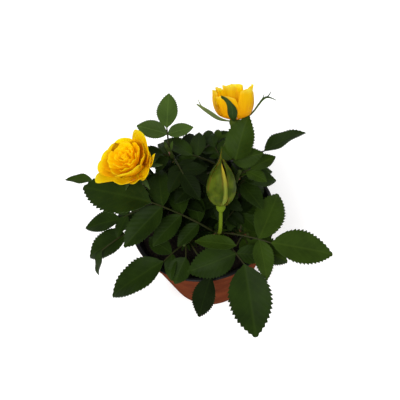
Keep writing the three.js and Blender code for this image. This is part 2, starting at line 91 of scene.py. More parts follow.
def deselect():
    bpy.ops.object.select_all(action="DESELECT")


def plain_finish(name, colour, roughness):
    """A material whose base colour and roughness are the same all over."""
    finish = bpy.data.materials.new(name)
    finish.use_nodes = True
    shader = finish.node_tree.nodes["Principled BSDF"]
    shader.inputs["Base Color"].default_value = (*colour, 1)
    shader.inputs["Roughness"].default_value = roughness
    return finish


deselect()
bpy.ops.mesh.primitive_plane_add(size=FLOOR_SIZE)
floor = bpy.context.object
floor.name = "studio_floor"
paper = plain_finish("white_paper", (0.93, 0.93, 0.93), 0.9)
glow = paper.node_tree.nodes["Principled BSDF"].inputs
glow["Emission Color"].default_value = (1, 1, 1, 1)
glow["Emission Strength"].default_value = PAPER_GLOW
floor.data.materials.append(paper)
for name, place, size, power in LAMPS:
    light = bpy.data.lights.new(name, "AREA")
    light.shape = "DISK"
    light.size = size
    light.energy = power
    lamp = bpy.data.objects.new(name, light)
    lamp.location = place
    lamp.rotation_euler = (Vector((0, 0, 0.1)) - Vector(place)).to_track_quat("-Z", "Y").to_euler()
    scene.collection.objects.link(lamp)

world = bpy.data.worlds.new("pale_room")
world.use_nodes = True
room = world.node_tree.nodes["Background"].inputs
room["Color"].default_value = (1, 1, 1, 1)
room["Strength"].default_value = ROOM_LIGHT
scene.world = world
scene.view_settings.view_transform = "Standard"
print("lamps:", [lamp[0] for lamp in LAMPS])

# %% [markdown]
# ## The plant's rule
# A rose grows by a rule: canes rise from the soil, and each carries leaves, a golden turn apart. Every leaf
# has a stalk that arches out, one leaflet at its end and pairs of leaflets behind it. The CAD model was
# grown by this rule. It is written again here with the same sizes and the same run of numbers, so that
# every leaf lands where the CAD has it. A particle system could scatter leaves too, but it would not know
# where they grow.

# %% The canes, and the leaves that show from the front
SOIL_LEVEL = 78
GAP = 0.3
CANES = [
    dict(name="bud", foot=(5, -17), top=(8.5, -30, 113), enter=92, thick=(1.9, 1.3), fill=0),
    dict(name="left", foot=(-15, 0), top=(-35, -2, 147), enter=100, thick=(2.1, 1.3), fill=2),
    dict(name="back", foot=(8, 8), top=(20.7, 10, 150), enter=104, thick=(2.2, 1.3), fill=1),
    dict(name="back_left", foot=(-7, 14), top=(-15, 7, 164), enter=106, thick=(2, 1.1), fill=2),
    dict(name="right", foot=(19, -3), top=(27, -8, 147), enter=98, thick=(2, 1.2), fill=2),
    dict(name="front_right", foot=(17, -18), top=(27, -34, 112), enter=90, thick=(1.8, 1.1), fill=1),
    dict(name="front_left", foot=(-8, -18), top=(-15, -33, 110), enter=90, thick=(1.8, 1.1), fill=1),
    dict(name="rear", foot=(3, 24), top=(4, 31, 122), enter=96, thick=(1.9, 1.1), fill=6),
    dict(name="rear_left", foot=(-21, 15), top=(-34, 26, 124), enter=94, thick=(1.8, 1.1), fill=6),
    dict(name="rear_right", foot=(21, 14), top=(36, 26, 128), enter=94, thick=(1.8, 1.1), fill=6),
]
LEAF_WIDTH = 0.58
PAIR_SPREAD = 62


def leaf(cane, node, bearing, reach, rise, aim, pitch, length, sides=(), wide=LEAF_WIDTH, roll=0,
         spread=PAIR_SPREAD, tint=0):
    """A leaf at the height "node". Its stalk runs out by "reach" and up by "rise".

    Its end leaflet is "length" long and points to "aim"; "sides" has the side leaflets' shares of that.
    """
    return dict(cane=cane, node=node, bearing=bearing, reach=reach, rise=rise, aim=aim, pitch=pitch,
                length=length, roll=roll, wide=wide, spread=spread, sides=sides, tint=tint)


# tint 4 is painted shade: the nearly black green given to leaves deep in the crown
LEAVES = [
    leaf("bud", 103, 177, 36, 47, 151, -5, 51, (0.66, 0.55, 0.52, 0.48, 0.4, 0.44), wide=0.54, roll=-12),
    leaf("bud", 107, -64, 31, 5, -90, -25, 46, (0.45, 0.72), wide=0.61, spread=78),
    leaf("bud", 110, -27, 36, 6, -13, -14, 42, (0.88, 0.62), wide=0.54, roll=11, spread=72, tint=1),
    leaf("left", 108, -146, 38, 6, -173, -19, 33, (0.35, 0.66, 0.4, 0.6), wide=0.62),
    leaf("left", 116, -160, 34, 4, 174, -13, 27, (0.6, 0.85), wide=0.58),
    leaf("left", 104, -150, 58, 9, -140, -57, 25, wide=0.25),
    leaf("left", 130, 166, 41, 8, 163, 4, 19, wide=0.46, roll=15, tint=1),
    leaf("back", 132, -169, 16, 20, 131, -3, 26, (0.6, 0.85), wide=0.46, spread=50),
    leaf("back", 136, -60, 17, 20, 57, 50, 27, (0.4, 0.72), wide=0.7, tint=1),
    leaf("back", 134, -16, 29, 17, 17, 15, 28, wide=0.52, roll=-20),
    leaf("back", 126, -121, 17, 19, -150, -8, 25, (0.45, 0.85), wide=0.7, tint=4),
    leaf("back_left", 157, 80, 6, 15, 79, 20, 23, (0.9, 0.7), wide=0.58, spread=72, tint=2),
    leaf("back_left", 147, 172, 6, 6, 168, -4, 19, (0.7, 0.55), wide=0.6),
    leaf("back_left", 110, -90, 10, 8, -105, -12, 18, (0.85, 0.85), wide=0.66, tint=4),
    leaf("right", 120, 0, 8, 12, 4, -15, 23, (0.9, 0.95), wide=0.66),
    leaf("right", 141, -3, 8, 6, 21, 6, 18, (0.55, 0.8), wide=0.66, tint=1),
    leaf("right", 112, -145, 11, 10, -175, -8, 16, (0.8, 0.85), wide=0.62, tint=4),
    leaf("front_right", 106, -80, 10, 3, -24, -18, 30, (0.5, 0.6), wide=0.68, tint=1),
    leaf("front_right", 104, 70, 16, 10, 50, -6, 24, (0.5, 0.8), wide=0.6, spread=45),
    leaf("front_right", 108, -118, 15, 11, 160, 0, 27, wide=0.42, tint=1),
    leaf("front_left", 98, -139, 25, 8, -165, -18, 44, (0.4, 0.54), wide=0.52),
    leaf("front_left", 101, -68, 29, -3, -125, -42, 31, wide=0.52, tint=4),
    leaf("front_left", 106, -97, 11, 1, -128, -25, 19, wide=0.85),
    leaf("front_left", 104, 80, 9, 9, 88, -8, 19, (0.8, 0.8), wide=0.62, tint=4),
    leaf("front_right", 100, 128, 9, 7, 120, -10, 20, (0.6, 0.6), wide=0.7),
]
print("canes:", len(CANES), "leaves that show:", len(LEAVES))

# %% Curves, and the frame of a blade
UP = np.array((0.0, 0.0, 1.0))


def on_curve(curve, shares):
    """Points at the given shares of a Bezier curve, found by halving between its control points."""
    shares = np.atleast_1d(np.asarray(shares, float)).reshape(-1, 1, 1)
    points = np.repeat(np.asarray(curve, float)[None], len(shares), 0)
    while points.shape[1] > 1:
        points = points[:, :-1] * (1 - shares) + points[:, 1:] * shares
    return points[:, 0]


def headings(curve, shares):
    """The direction of the curve at the given shares."""
    shares = np.atleast_1d(np.asarray(shares, float))
    step = on_curve(curve, np.minimum(shares + 1e-4, 1)) - on_curve(curve, np.maximum(shares - 1e-4, 0))
    return step / norm(step, axis=1)[:, None]


def blade_frame(bearing, pitch, roll):
    """Three directions of a blade: along it, to its left, and up from its face."""
    b, p, r = (radians(angle) for angle in (bearing, pitch, roll))
    along = np.array((cos(p) * cos(b), cos(p) * sin(b), sin(p)))
    level = np.array((-sin(b), cos(b), 0))
    left = level * cos(r) + np.cross(along, level) * sin(r)
    return along, left, np.cross(along, left)


CANE_UPRIGHT = 0.45


def cane_curve(cane):
    start = np.array((*cane["foot"], SOIL_LEVEL + GAP))
    end = np.array(cane["top"], float)
    middle = np.array((*cane["foot"], start[2] + (end[2] - start[2]) * CANE_UPRIGHT))
    return np.array((start, middle, end))


def share_at_height(curve, height):
    low, high = 0.0, 1.0
    for _ in range(40):
        middle = (low + high) / 2
        if on_curve(curve, middle)[0, 2] < height:
            low = middle
        else:
            high = middle
    return low


# %% One compound leaf: its stalk and its leaflets
STALK_BEND = 0.45
STALK_BOW = 0.16
STALK_BARE = 0.15
LEAF_FOLD = 0.3
LEAF_DROOP = 0.1
FIRST_PAIR = 0.18
NEXT_PAIR = 0.32


def compound_leaf(curve, plan):
    foot = on_curve(curve, share_at_height(curve, plan["node"]))[0]
    bearing = radians(plan["bearing"])
    outward = np.array((cos(bearing), sin(bearing), 0))
    end = foot + outward * plan["reach"] + UP * plan["rise"]
    bend = foot + (end - foot) * STALK_BEND + UP * STALK_BOW * plan["reach"]
    stalk = np.array((foot, bend, end))
    along, left, up = blade_frame(plan["aim"], plan["pitch"], plan["roll"])
    length = plan["length"]
    blades = [dict(root=end, along=along, left=left, up=up, length=length, width=length * plan["wide"])]
    span = norm(end - foot)
    for k, share in enumerate(plan["sides"]):
        turn = radians(plan["spread"]) * (1 if k % 2 == 0 else -1)
        way = along * cos(turn) + left * sin(turn)
        back = (FIRST_PAIR + NEXT_PAIR * (k // 2)) * length
        root = on_curve(stalk, max(STALK_BARE, 1 - back / span))[0]
        blades.append(dict(root=root, along=way, left=np.cross(up, way), up=up, length=length * share,
                           width=length * share * plan["wide"]))
    return dict(stalk=stalk, blades=blades, tint=plan["tint"])


def blade_points(blade, stations, sides):
    """Places on a folded, drooping blade: stations from its root, 0, to its tip, 1; sides from -1 to 1."""
    stations, sides = np.asarray(stations, float), np.asarray(sides, float)
    half = sides * blade["width"] * 0.5
    lift = np.abs(half) * LEAF_FOLD - LEAF_DROOP * blade["length"] * stations**2
    return (blade["root"] + np.outer(stations * blade["length"], blade["along"])
            + np.outer(half, blade["left"]) + np.outer(lift, blade["up"]))


# %% Which places are taken, and the run of numbers
PROBE_STATIONS = np.repeat((0.15, 0.35, 0.55, 0.75, 0.95), 3)
PROBE_SIDES = np.tile((-0.7, 0, 0.7), 5)
CROWN_REACH = 65
CROWN_FLOOR = 82
CLEARANCE = 3.8
LIMB_CLEARANCE = 3
LIMB_PLACES = 12
SEED = 12
FACTOR = 16807
LARGEST = 2147483647
state = SEED


def chance(low, high):
    """The next number of a run that is the same every time, between two limits."""
    global state
    state = (state * FACTOR) % LARGEST
    return low + (high - low) * state / LARGEST


for cane in CANES:
    cane["curve"] = cane_curve(cane)
    cane["grown"] = []
cane_named = {cane["name"]: cane for cane in CANES}
blade_places = np.empty((0, 3))
limb_places = np.concatenate([on_curve(c["curve"], np.linspace(0, 1, 2 * LIMB_PLACES + 1)) for c in CANES])


def probes(grown):
    return np.concatenate([blade_points(blade, PROBE_STATIONS, PROBE_SIDES) for blade in grown["blades"]])


def nearest(points, taken):
    if len(taken) == 0:
        return inf
    return norm(points[:, None] - taken[None], axis=2).min()


def fits(grown, clearance=CLEARANCE, limb_clearance=LIMB_CLEARANCE):
    """Whether a leaf's blades and the outer half of its stalk stay clear of all that has grown."""
    outer = on_curve(grown["stalk"], np.linspace(0, 1, LIMB_PLACES + 1))[LIMB_PLACES // 2:]
    points = np.concatenate((outer, probes(grown)))
    if np.hypot(points[:, 0], points[:, 1]).max() >= CROWN_REACH or points[:, 2].min() <= CROWN_FLOOR:
        return False
    return nearest(points, blade_places) > clearance and nearest(points, limb_places) > limb_clearance


def keep(cane, grown):
    global blade_places, limb_places
    cane["grown"].append(grown)
    limb_places = np.concatenate((limb_places, on_curve(grown["stalk"], np.linspace(0, 1, LIMB_PLACES + 1))))
    blade_places = np.concatenate((blade_places, probes(grown)))


# %% Grow the leaves
FILL = dict(swing=(-50, 50), turn=(-20, 20), roll=(-15, 15), reach=(8, 20), rise=(2, 12), pitch=(-28, 2),
            length=(17, 28))
FIVE_LEAFLETS = (0.84, 0.84, 0.62, 0.62)
GOLDEN_TURN = 137.5
ATTEMPTS = 60


def leaf_by_chance(cane, bearing, node, limits, sides=FIVE_LEAFLETS):
    """A leaf whose sizes are drawn between the limits, in the order in which they are listed."""
    drawn = {size: chance(*span) for size, span in limits.items()}
    bearing += drawn.pop("swing")
    node += drawn.pop("climb", 0) * (cane["top"][2] - 2 - cane["enter"])
    aim = bearing + drawn.pop("turn")
    plan = leaf(cane["name"], node, bearing, aim=aim, sides=sides, tint=None, **drawn)
    return compound_leaf(cane["curve"], plan)


for plan in LEAVES:
    cane = cane_named[plan["cane"]]
    keep(cane, compound_leaf(cane["curve"], plan))
for cane in CANES:
    outward = degrees(atan2(cane["top"][1], cane["top"][0]))
    for k in range(cane["fill"]):
        share = (k + 0.5) / cane["fill"]
        node = cane["enter"] + 3 + (cane["top"][2] - 5 - cane["enter"]) * share
        for _ in range(ATTEMPTS):
            grown = leaf_by_chance(cane, outward + GOLDEN_TURN * k, node, FILL)
            if fits(grown):
                keep(cane, grown)
                break
print("leaves as in the CAD:", {cane["name"]: len(cane["grown"]) for cane in CANES})

# %% [markdown]
# ## Finer leaves between the large ones
# The CAD stops where its count of faces has to. On the real plant smaller leaves fill the shade between the
# large ones, and from the camera almost no compost shows. They could be painted on as a texture, but then
# the bush would be hollow from the side. The same rule is carried on instead, with shorter stalks and
# smaller leaflets, inside the same crown, and open where the picture shows white between the outer leaves.

# %% Grow the finer leaves
FINE = dict(swing=(-80, 80), climb=(0, 1), reach=(6, 17), rise=(1, 13), turn=(-30, 30), pitch=(-30, 12),
            length=(12, 20), roll=(-25, 25), wide=(0.52, 0.66))
FINE_ROUNDS = 34
FINE_ATTEMPTS = 6
FINE_CLEARANCE = (1.3, 1.2)
NEAR_CLEARANCE = (0.6, 0.6)
NEAR_THE_BUD = [
    ("front_right", 98, 60, 9, 6, 60),
    ("right", 98, -60, 9, 2, -30),
    ("right", 110, -80, 12, 2, -50),
]
CROWN_MIDDLE = np.array((2, 6, 118.0))
CROWN_HALF = np.array((46, 44, 40.0))


def out_in_crown(grown):
    """How far out in the round of the crown a leaf's places are, from 0 in its middle to 1 at its edge."""
    return norm((probes(grown) - CROWN_MIDDLE) / CROWN_HALF, axis=1)


def keep_fine(cane, grown, clearances):
    """Keeps a finer leaf where there is room for it."""
    if not fits(grown, *clearances):
        return False
    grown["fine"] = True
    keep(cane, grown)
    return True


fine_count = 0
for k in range(FINE_ROUNDS):
    for cane in CANES:
        for _ in range(FINE_ATTEMPTS):
            sides = FIVE_LEAFLETS if k % 2 else FIVE_LEAFLETS[:2]
            grown = leaf_by_chance(cane, GOLDEN_TURN * k, cane["enter"], FINE, sides)
            if out_in_crown(grown).max() < 1 and keep_fine(cane, grown, FINE_CLEARANCE):
                fine_count += 1
                break
for cane_name, *sizes in NEAR_THE_BUD:
    cane = cane_named[cane_name]
    plan = leaf(cane_name, *sizes, -5, 20, FIVE_LEAFLETS[:2], wide=0.66)
    fine_count += keep_fine(cane, compound_leaf(cane["curve"], plan), NEAR_CLEARANCE)
print("finer leaves:", fine_count)

# %% [markdown]
# ## Helpers for modelling
# Every operator of Blender acts on what is selected. So each model starts with nothing selected, and edges
# and faces are then picked by their place. Many small shapes make one mesh in the end: a Joined collects
# the points and faces of all of them, and becomes a single piece.

# %% Pick, read and join
def start_editing():
    """Enters edit mode with the whole of the new model selected."""
    bpy.ops.object.mode_set(mode="EDIT")
    bpy.ops.mesh.select_all(action="SELECT")


def pick(piece, wanted):
    """In edit mode, selects the vertices whose place is wanted, and nothing else."""
    bpy.ops.mesh.select_all(action="DESELECT")
    mesh = bmesh.from_edit_mesh(piece.data)
    for vertex in mesh.verts:
        vertex.select_set(bool(wanted(vertex.co)))
    mesh.select_flush_mode()
    bmesh.update_edit_mesh(piece.data)


def read_model(piece):
    """The points and faces of a finished model, which is then taken out of the scene."""
    points = np.array([tuple(vertex.co) for vertex in piece.data.vertices])
    faces = [tuple(face.vertices) for face in piece.data.polygons]
    middles = np.array([tuple(face.center) for face in piece.data.polygons])
    bpy.data.objects.remove(piece)
    return dict(points=points, faces=faces, middles=middles)


def activate(piece):
    deselect()
    piece.select_set(True)
    bpy.context.view_layer.objects.active = piece


class Joined:
    """Small shapes on their way to one mesh. Points are in millimetres, each with a place on a flat map."""

    def __init__(self):
        self.points, self.maps, self.faces, self.finishes, self.count = [], [], [], [], 0

    def add(self, points, faces, finish=0, places=None):
        """The finish is one number for the whole shape, or a list with one for each face."""
        self.points.append(points)
        self.maps.append(np.zeros((len(points), 2)) if places is None else places)
        self.faces.extend(tuple(corner + self.count for corner in face) for face in faces)
        self.finishes.extend([finish] * len(faces) if isinstance(finish, int) else finish)
        self.count += len(points)

    def piece(self, name, finishes, nodes, slot, crease):
        mesh = bpy.data.meshes.new(name)
        mesh.from_pydata((np.concatenate(self.points) * MM).tolist(), [], self.faces)
        mesh.polygons.foreach_set("material_index", self.finishes)
        for finish in finishes:
            mesh.materials.append(finish)
        corners = np.empty(len(mesh.loops), np.int32)
        mesh.loops.foreach_get("vertex_index", corners)
        flat = mesh.uv_layers.new(name="surface")
        flat.data.foreach_set("uv", np.concatenate(self.maps)[corners].astype(np.float32).ravel())
        mesh.validate()
        made = bpy.data.objects.new(name, mesh)
        scene.collection.objects.link(made)
        settle(made, nodes, crease)


def settle(piece, nodes, crease):
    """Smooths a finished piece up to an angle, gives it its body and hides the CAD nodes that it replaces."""
    activate(piece)
    bpy.ops.object.shade_smooth_by_angle(angle=radians(crease))
    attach(piece, "root")
    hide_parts(*nodes)
    print(piece.name, "triangles:", sum(len(face.vertices) - 2 for face in piece.data.polygons))


# %% [markdown]
# ## Finishes, and how their nodes are joined
# Nothing on the plant is one flat colour. A finish starts from a shader with its plain values, and a few
# nodes then vary the colour and the bump. The class Finish keeps the cells short: each of its calls adds a
# node, joins it to others and returns what it gives.

# %% Node helpers
def linear(hexcode):
    """A colour as a painter's hex code, in the linear values that a shader reads."""
    parts = [int(hexcode[k:k + 2], 16) / 255 for k in (0, 2, 4)]
    return tuple(part / 12.92 if part <= 0.04045 else ((part + 0.055) / 1.055) ** 2.4 for part in parts)


class Finish:
    """A material under way: its nodes are added one by one, and each call returns what its node gives."""

    def __init__(self, name, colour, roughness, shine=0.5, **sockets):
        self.material = plain_finish(name, linear(colour), roughness)
        self.tree = self.material.node_tree
        self.shader = self.tree.nodes["Principled BSDF"]
        for socket, value in dict(Specular_IOR_Level=shine, **sockets).items():
            self.shader.inputs[socket.replace("_", " ")].default_value = value

    def node(self, kind, inputs=(), **settings):
        made = self.tree.nodes.new("ShaderNode" + kind)
        for name, value in settings.items():
            setattr(made, name, value)
        for place, value in dict(inputs).items():
            if isinstance(value, bpy.types.NodeSocket):
                self.tree.links.new(value, made.inputs[place])
            else:
                made.inputs[place].default_value = value
        return made

    def maths(self, operation, first, second=0.0):
        return self.node("Math", {0: first, 1: second}, operation=operation).outputs[0]

    def object_place(self):
        return self.node("TexCoord").outputs["Object"]

    def height(self):
        return self.node("SeparateXYZ", {0: self.object_place()}).outputs["Z"]

    def surface_place(self):
        """The place on the flat map: across the shape from 0 to 1, and along it from 0 to 1."""
        split = self.node("SeparateXYZ", {0: self.node("UVMap", uv_map="surface").outputs["UV"]})
        return split.outputs["X"], split.outputs["Y"]

    def noise(self, scale, detail=3.0, place=None):
        where = self.object_place() if place is None else place
        return self.node("TexNoise", {"Vector": where, "Scale": scale, "Detail": detail}).outputs["Fac"]

    def stepped(self, value, low, high, start=0.0, end=1.0):
        return self.node("MapRange", {0: value, 1: low, 2: high, 3: start, 4: end}).outputs[0]

    def ramp(self, value, stops):
        made = self.node("ValToRGB", {0: value})
        elements = made.color_ramp.elements
        while len(elements) < len(stops):
            elements.new(0.5)
        for element, (place, colour) in zip(elements, stops):
            element.position = place
            element.color = (*linear(colour), 1)
        return made.outputs["Color"]

    def mixed(self, share, *colours):
        """Two colours mixed by a share; each is a hex code or a socket."""
        first, second = ((*linear(c), 1) if isinstance(c, str) else c for c in colours)
        return self.node("Mix", {0: share, 6: first, 7: second}, data_type="RGBA").outputs[2]

    def coloured(self, colour):
        self.tree.links.new(colour, self.shader.inputs["Base Color"])

    def bumped(self, height, strength, depth_mm):
        made = self.node("Bump", {"Height": height, "Strength": strength, "Distance": depth_mm * MM})
        self.tree.links.new(made.outputs[0], self.shader.inputs["Normal"])


# %% [markdown]
# ## The pot
# The real pot is a thin plastic one in the colour of fired clay, turned out of a mould: a tapered wall, and
# a band under the rim. Such a shape can be spun from a profile, or grown upwards from its foot. It is grown
# here: a disc is extruded ring by ring, and each ring is scaled to its own radius, over the rim and down
# the inside.

# %% Grow the pot from its foot
POT_HEIGHT = 90
RIM_RADIUS = 52.5
FOOT_RADIUS = 36
POT_WALL = 1.6
BAND_HEIGHT = 13
BAND_STEP = 1.4
FLOOR_THICKNESS = 2.4
POT_EDGE = 0.8
LIP_EDGE = 0.4
POT_SIDES = 96


def pot_outside(height):
    return FOOT_RADIUS + (RIM_RADIUS - BAND_STEP - FOOT_RADIUS) * height / POT_HEIGHT


def pot_inside(height):
    share = (height - FLOOR_THICKNESS) / (POT_HEIGHT - FLOOR_THICKNESS)
    return FOOT_RADIUS - POT_WALL + (RIM_RADIUS - BAND_STEP - FOOT_RADIUS) * share


def grow_round(name, profile, sides):
    """A round solid: a filled circle, extruded through a profile of (radius, height) in millimetres."""
    deselect()
    radius, height = profile[0]
    bpy.ops.mesh.primitive_circle_add(vertices=sides, radius=radius * MM, fill_type="NGON",
                                      location=(0, 0, height * MM))
    piece = bpy.context.object
    piece.name = name
    bpy.ops.object.transform_apply(location=True)
    start_editing()
    bpy.ops.mesh.select_mode(type="FACE")
    for next_radius, next_height in profile[1:]:
        rise = (0, 0, (next_height - height) * MM)
        bpy.ops.mesh.extrude_region_move(TRANSFORM_OT_translate={"value": rise})
        scale = next_radius / radius
        bpy.ops.transform.resize(value=(scale, scale, 1), center_override=(0, 0, next_height * MM))
        radius, height = next_radius, next_height
    bpy.ops.mesh.select_all(action="SELECT")
    bpy.ops.mesh.normals_make_consistent(inside=False)
    bpy.ops.object.mode_set(mode="OBJECT")
    return piece


band_foot = POT_HEIGHT - BAND_HEIGHT
pot_profile = [
    (FOOT_RADIUS - POT_EDGE, 0),
    (FOOT_RADIUS, POT_EDGE),
    (pot_outside(band_foot), band_foot),
    (pot_outside(band_foot) + BAND_STEP, band_foot + BAND_STEP),
    (RIM_RADIUS, POT_HEIGHT - POT_EDGE),
    (RIM_RADIUS - POT_EDGE, POT_HEIGHT),
    (RIM_RADIUS - BAND_STEP - POT_WALL + LIP_EDGE, POT_HEIGHT),
    (pot_inside(POT_HEIGHT), POT_HEIGHT - LIP_EDGE),
    (pot_inside(FLOOR_THICKNESS), FLOOR_THICKNESS),
]
pot = grow_round("flower_pot", pot_profile, POT_SIDES)
print("pot points:", len(pot.data.vertices))

# %% [markdown]
# A pot drains through holes in its floor. They could be cut by hand, but a Boolean modifier with one
# cylinder per hole is exact. A narrow Bevel then rounds each moulded edge, so that it catches the light.

# %% Drain holes and rounded edges
DRAIN_HOLES = 6
DRAIN_RADIUS = 3.5
DRAIN_CIRCLE = 22
EDGE_ROUND = 0.35


def apply_modifier(piece, kind, **settings):
    """Adds a modifier with its settings and applies it at once."""
    activate(piece)
    modifier = piece.modifiers.new(kind.lower(), kind)
    for name, value in settings.items():
        setattr(modifier, name, value)
    bpy.ops.object.modifier_apply(modifier=modifier.name)


for k in range(DRAIN_HOLES):
    turn = 2 * pi * k / DRAIN_HOLES
    deselect()
    middle = Vector((cos(turn), sin(turn), 0)) * DRAIN_CIRCLE * MM
    bpy.ops.mesh.primitive_cylinder_add(vertices=24, radius=DRAIN_RADIUS * MM, depth=4 * FLOOR_THICKNESS * MM,
                                        location=middle)
    drill = bpy.context.object
    apply_modifier(pot, "BOOLEAN", object=drill, operation="DIFFERENCE", solver="EXACT")
    bpy.data.objects.remove(drill)
apply_modifier(pot, "BEVEL", width=EDGE_ROUND * MM, segments=2, limit_method="ANGLE",
               angle_limit=radians(25))
print("pot points after the edges are rounded:", len(pot.data.vertices))

# %% [markdown]
# The plastic is clay-coloured and half matt. Its colour is mottled a little, and a faint grain shows where
# the mould was blasted. Watering leaves a paler film of lime in patches.

# %% The pot's plastic
LINING_REACH = 0.6
LINED_LIP = 0.5
plastic = Finish("clay_plastic", "6e3018", 0.6, 0.0)
mottle = plastic.stepped(plastic.noise(45, 4), 0.35, 0.7)
lime = plastic.stepped(plastic.noise(130, 5), 0.55, 0.8, 0.0, 0.22)
clay = plastic.mixed(mottle, "54291a", "693520")
plastic.coloured(plastic.mixed(lime, clay, "7a4e38"))
plastic.bumped(plastic.noise(1400, 2), 0.25, 0.12)
liner = Finish("black_plastic", "0b0b0b", 0.5, 0.2)
liner.bumped(liner.noise(1200, 2), 0.2, 0.1)
pot.data.materials.clear()
pot.data.materials.append(plastic.material)
pot.data.materials.append(liner.material)
for face in pot.data.polygons:
    x, y, height = face.center / MM
    inside = hypot(x, y) < pot_inside(height) + LINING_REACH and height > 0.5 * FLOOR_THICKNESS
    face.material_index = 1 if inside or height > POT_HEIGHT - LINED_LIP else 0
settle(pot, ["pot"], 35)

# %% [markdown]
# ## The compost
# Potting compost is dark, damp and crumbly. A flat disc with a bumpy finish would look like felt from the
# side, so the top is modelled: its rings are lifted by noise, and loose crumbs lie on it. A crumb is
# modelled once.

# %% Fill the pot
SOIL_SLOPE = 4
SOIL_DROP = 2
SOIL_RINGS = 26
SOIL_SIDES = 80
SOIL_RELIEF = 1.1
soil_foot = FLOOR_THICKNESS + GAP
soil_edge = pot_inside(SOIL_LEVEL - SOIL_DROP) - GAP
soil_profile = [(pot_inside(soil_foot) - GAP, soil_foot), (soil_edge, SOIL_LEVEL - SOIL_DROP)]
for ring in range(SOIL_RINGS):
    radius = (soil_edge - SOIL_SLOPE) * (1 - ring / SOIL_RINGS)
    soil_profile.append((max(radius, 0.5), SOIL_LEVEL))
compost = grow_round("potting_compost", soil_profile, SOIL_SIDES)


def crumbled(x, y):
    """The height of the compost's relief at a place, in millimetres."""
    rough = noise.noise(Vector((x, y, 0)) * 0.16) + 0.6 * noise.noise(Vector((x, y, 9)) * 0.45)
    return SOIL_RELIEF * (rough + 0.5 * noise.noise(Vector((x, y, 4)) * 1.1) - 0.5)


for vertex in compost.data.vertices:
    reach = hypot(vertex.co.x, vertex.co.y) / MM
    if vertex.co.z > (SOIL_LEVEL - 0.5) * MM and reach < soil_edge - SOIL_SLOPE + 0.1:
        vertex.co.z += crumbled(vertex.co.x / MM, vertex.co.y / MM) * MM
print("compost points:", len(compost.data.vertices))

# %% The crumbs, and the compost's finish
CRUMBS = 620
vary = np.random.default_rng(11)
deselect()
bpy.ops.mesh.primitive_ico_sphere_add(subdivisions=1, radius=1)
crumb_model = bpy.context.object
start_editing()
bpy.ops.transform.vertex_random(offset=0.25, seed=3)
bpy.ops.object.mode_set(mode="OBJECT")
crumb = read_model(crumb_model)
crumbs = Joined()
for _ in range(CRUMBS):
    reach = (soil_edge - SOIL_SLOPE - 1) * sqrt(vary.random())
    turn = vary.uniform(0, 2 * pi)
    x, y = reach * cos(turn), reach * sin(turn)
    size = vary.uniform(0.35, 1.5) * np.array((1, vary.uniform(0.6, 1), vary.uniform(0.5, 0.8)))
    spin = np.array(Matrix.Rotation(vary.uniform(0, 6.28), 3, "Z"))
    place = np.array((x, y, SOIL_LEVEL + crumbled(x, y) + 0.2 * size[2]))
    crumbs.add(crumb["points"] * size @ spin.T + place, crumb["faces"])

soil_finish = Finish("damp_compost", "2a2019", 0.95, 0.2)
fleck = soil_finish.noise(900, 4)
soil_finish.coloured(soil_finish.ramp(fleck, [(0.3, "0e0a08"), (0.55, "1d1611"), (0.72, "32261c")]))
soil_finish.bumped(soil_finish.noise(1500, 3), 0.6, 0.4)
compost.data.materials.clear()
compost.data.materials.append(soil_finish.material)
settle(compost, ["soil"], 60)
crumbs.piece("compost_crumbs", [soil_finish.material], ["soil"], "soil", 30)

# %% [markdown]
# ## Canes, stems and stalks
# A rose's canes are round and green, brown and corky near the soil, with a slight swelling where each leaf
# grows, and hooked prickles between. A curve with a bevel makes a smooth pipe. The bark's relief needs
# more, so each cane is a tube whose rings follow the cane's own curve and whose radius is varied ring by
# ring.

# %% A tube along a curve
LEAF_SWELLING = 0.28
SWELLING_SPAN = 0.018


def set_tube(target, curve, thick, rings, sides, relief, swellings=(), foot=1.0):
    """Adds a closed tube: its radius tapers, swells at each leaf, and is uneven by a share, like bark."""
    shares, turns = np.linspace(0, 1, rings), 2 * np.pi * np.arange(sides) / sides
    smooth = thick[0] + (thick[1] - thick[0]) * shares
    for swelling in swellings:
        smooth = smooth + LEAF_SWELLING * np.exp(-((shares - swelling) / SWELLING_SPAN) ** 2)
    radii = smooth[:, None] * (1 + relief * vary.uniform(-1, 1, (rings, sides)))
    radii[0] *= foot
    centres, ways = on_curve(curve, shares), headings(curve, shares)
    across = np.cross((0, 1, 0), ways[0])
    if norm(across) < 0.2:
        across = np.cross((1, 0, 0), ways[0])
    points, places = [], []
    for share, radius, centre, way in zip(shares, radii, centres, ways):
        across = across - way * across.dot(way)
        across /= norm(across)
        ring = np.outer(np.cos(turns), across) + np.outer(np.sin(turns), np.cross(way, across))
        points.append(centre + radius[:, None] * ring)
        places.append(np.column_stack((turns / (2 * np.pi), np.full(sides, share))))
    first, last, top = rings * sides, rings * sides + 1, (rings - 1) * sides
    faces = []
    for i in range(sides):
        j = (i + 1) % sides
        faces.extend(((first, j, i), (top + i, top + j, last)))
        faces.extend((row + i, row + j, row + sides + j, row + sides + i) for row in range(0, top, sides))
    target.add(np.concatenate((*points, centres[:1], centres[-1:])), faces, 0,
               np.concatenate((*places, [[0.5, 0], [0.5, 1]])))


# %% Make the canes
CANE_RINGS = 40
CANE_SIDES = 12
CANE_RELIEF = 0.05
MOST_SWELLINGS = 6
canes = Joined()
for cane in CANES:
    nodes = [share_at_height(cane["curve"], grown["stalk"][0][2]) for grown in cane["grown"]]
    set_tube(canes, cane["curve"], cane["thick"], CANE_RINGS, CANE_SIDES, CANE_RELIEF, nodes[:MOST_SWELLINGS])
print("cane points:", canes.count)

# %% [markdown]
# A prickle is a flat cone that hooks downwards. It is modelled once: the tip of a cone is moved along and
# down, and the cone is made narrower. Copies are then set on the canes, each turned to face outwards.

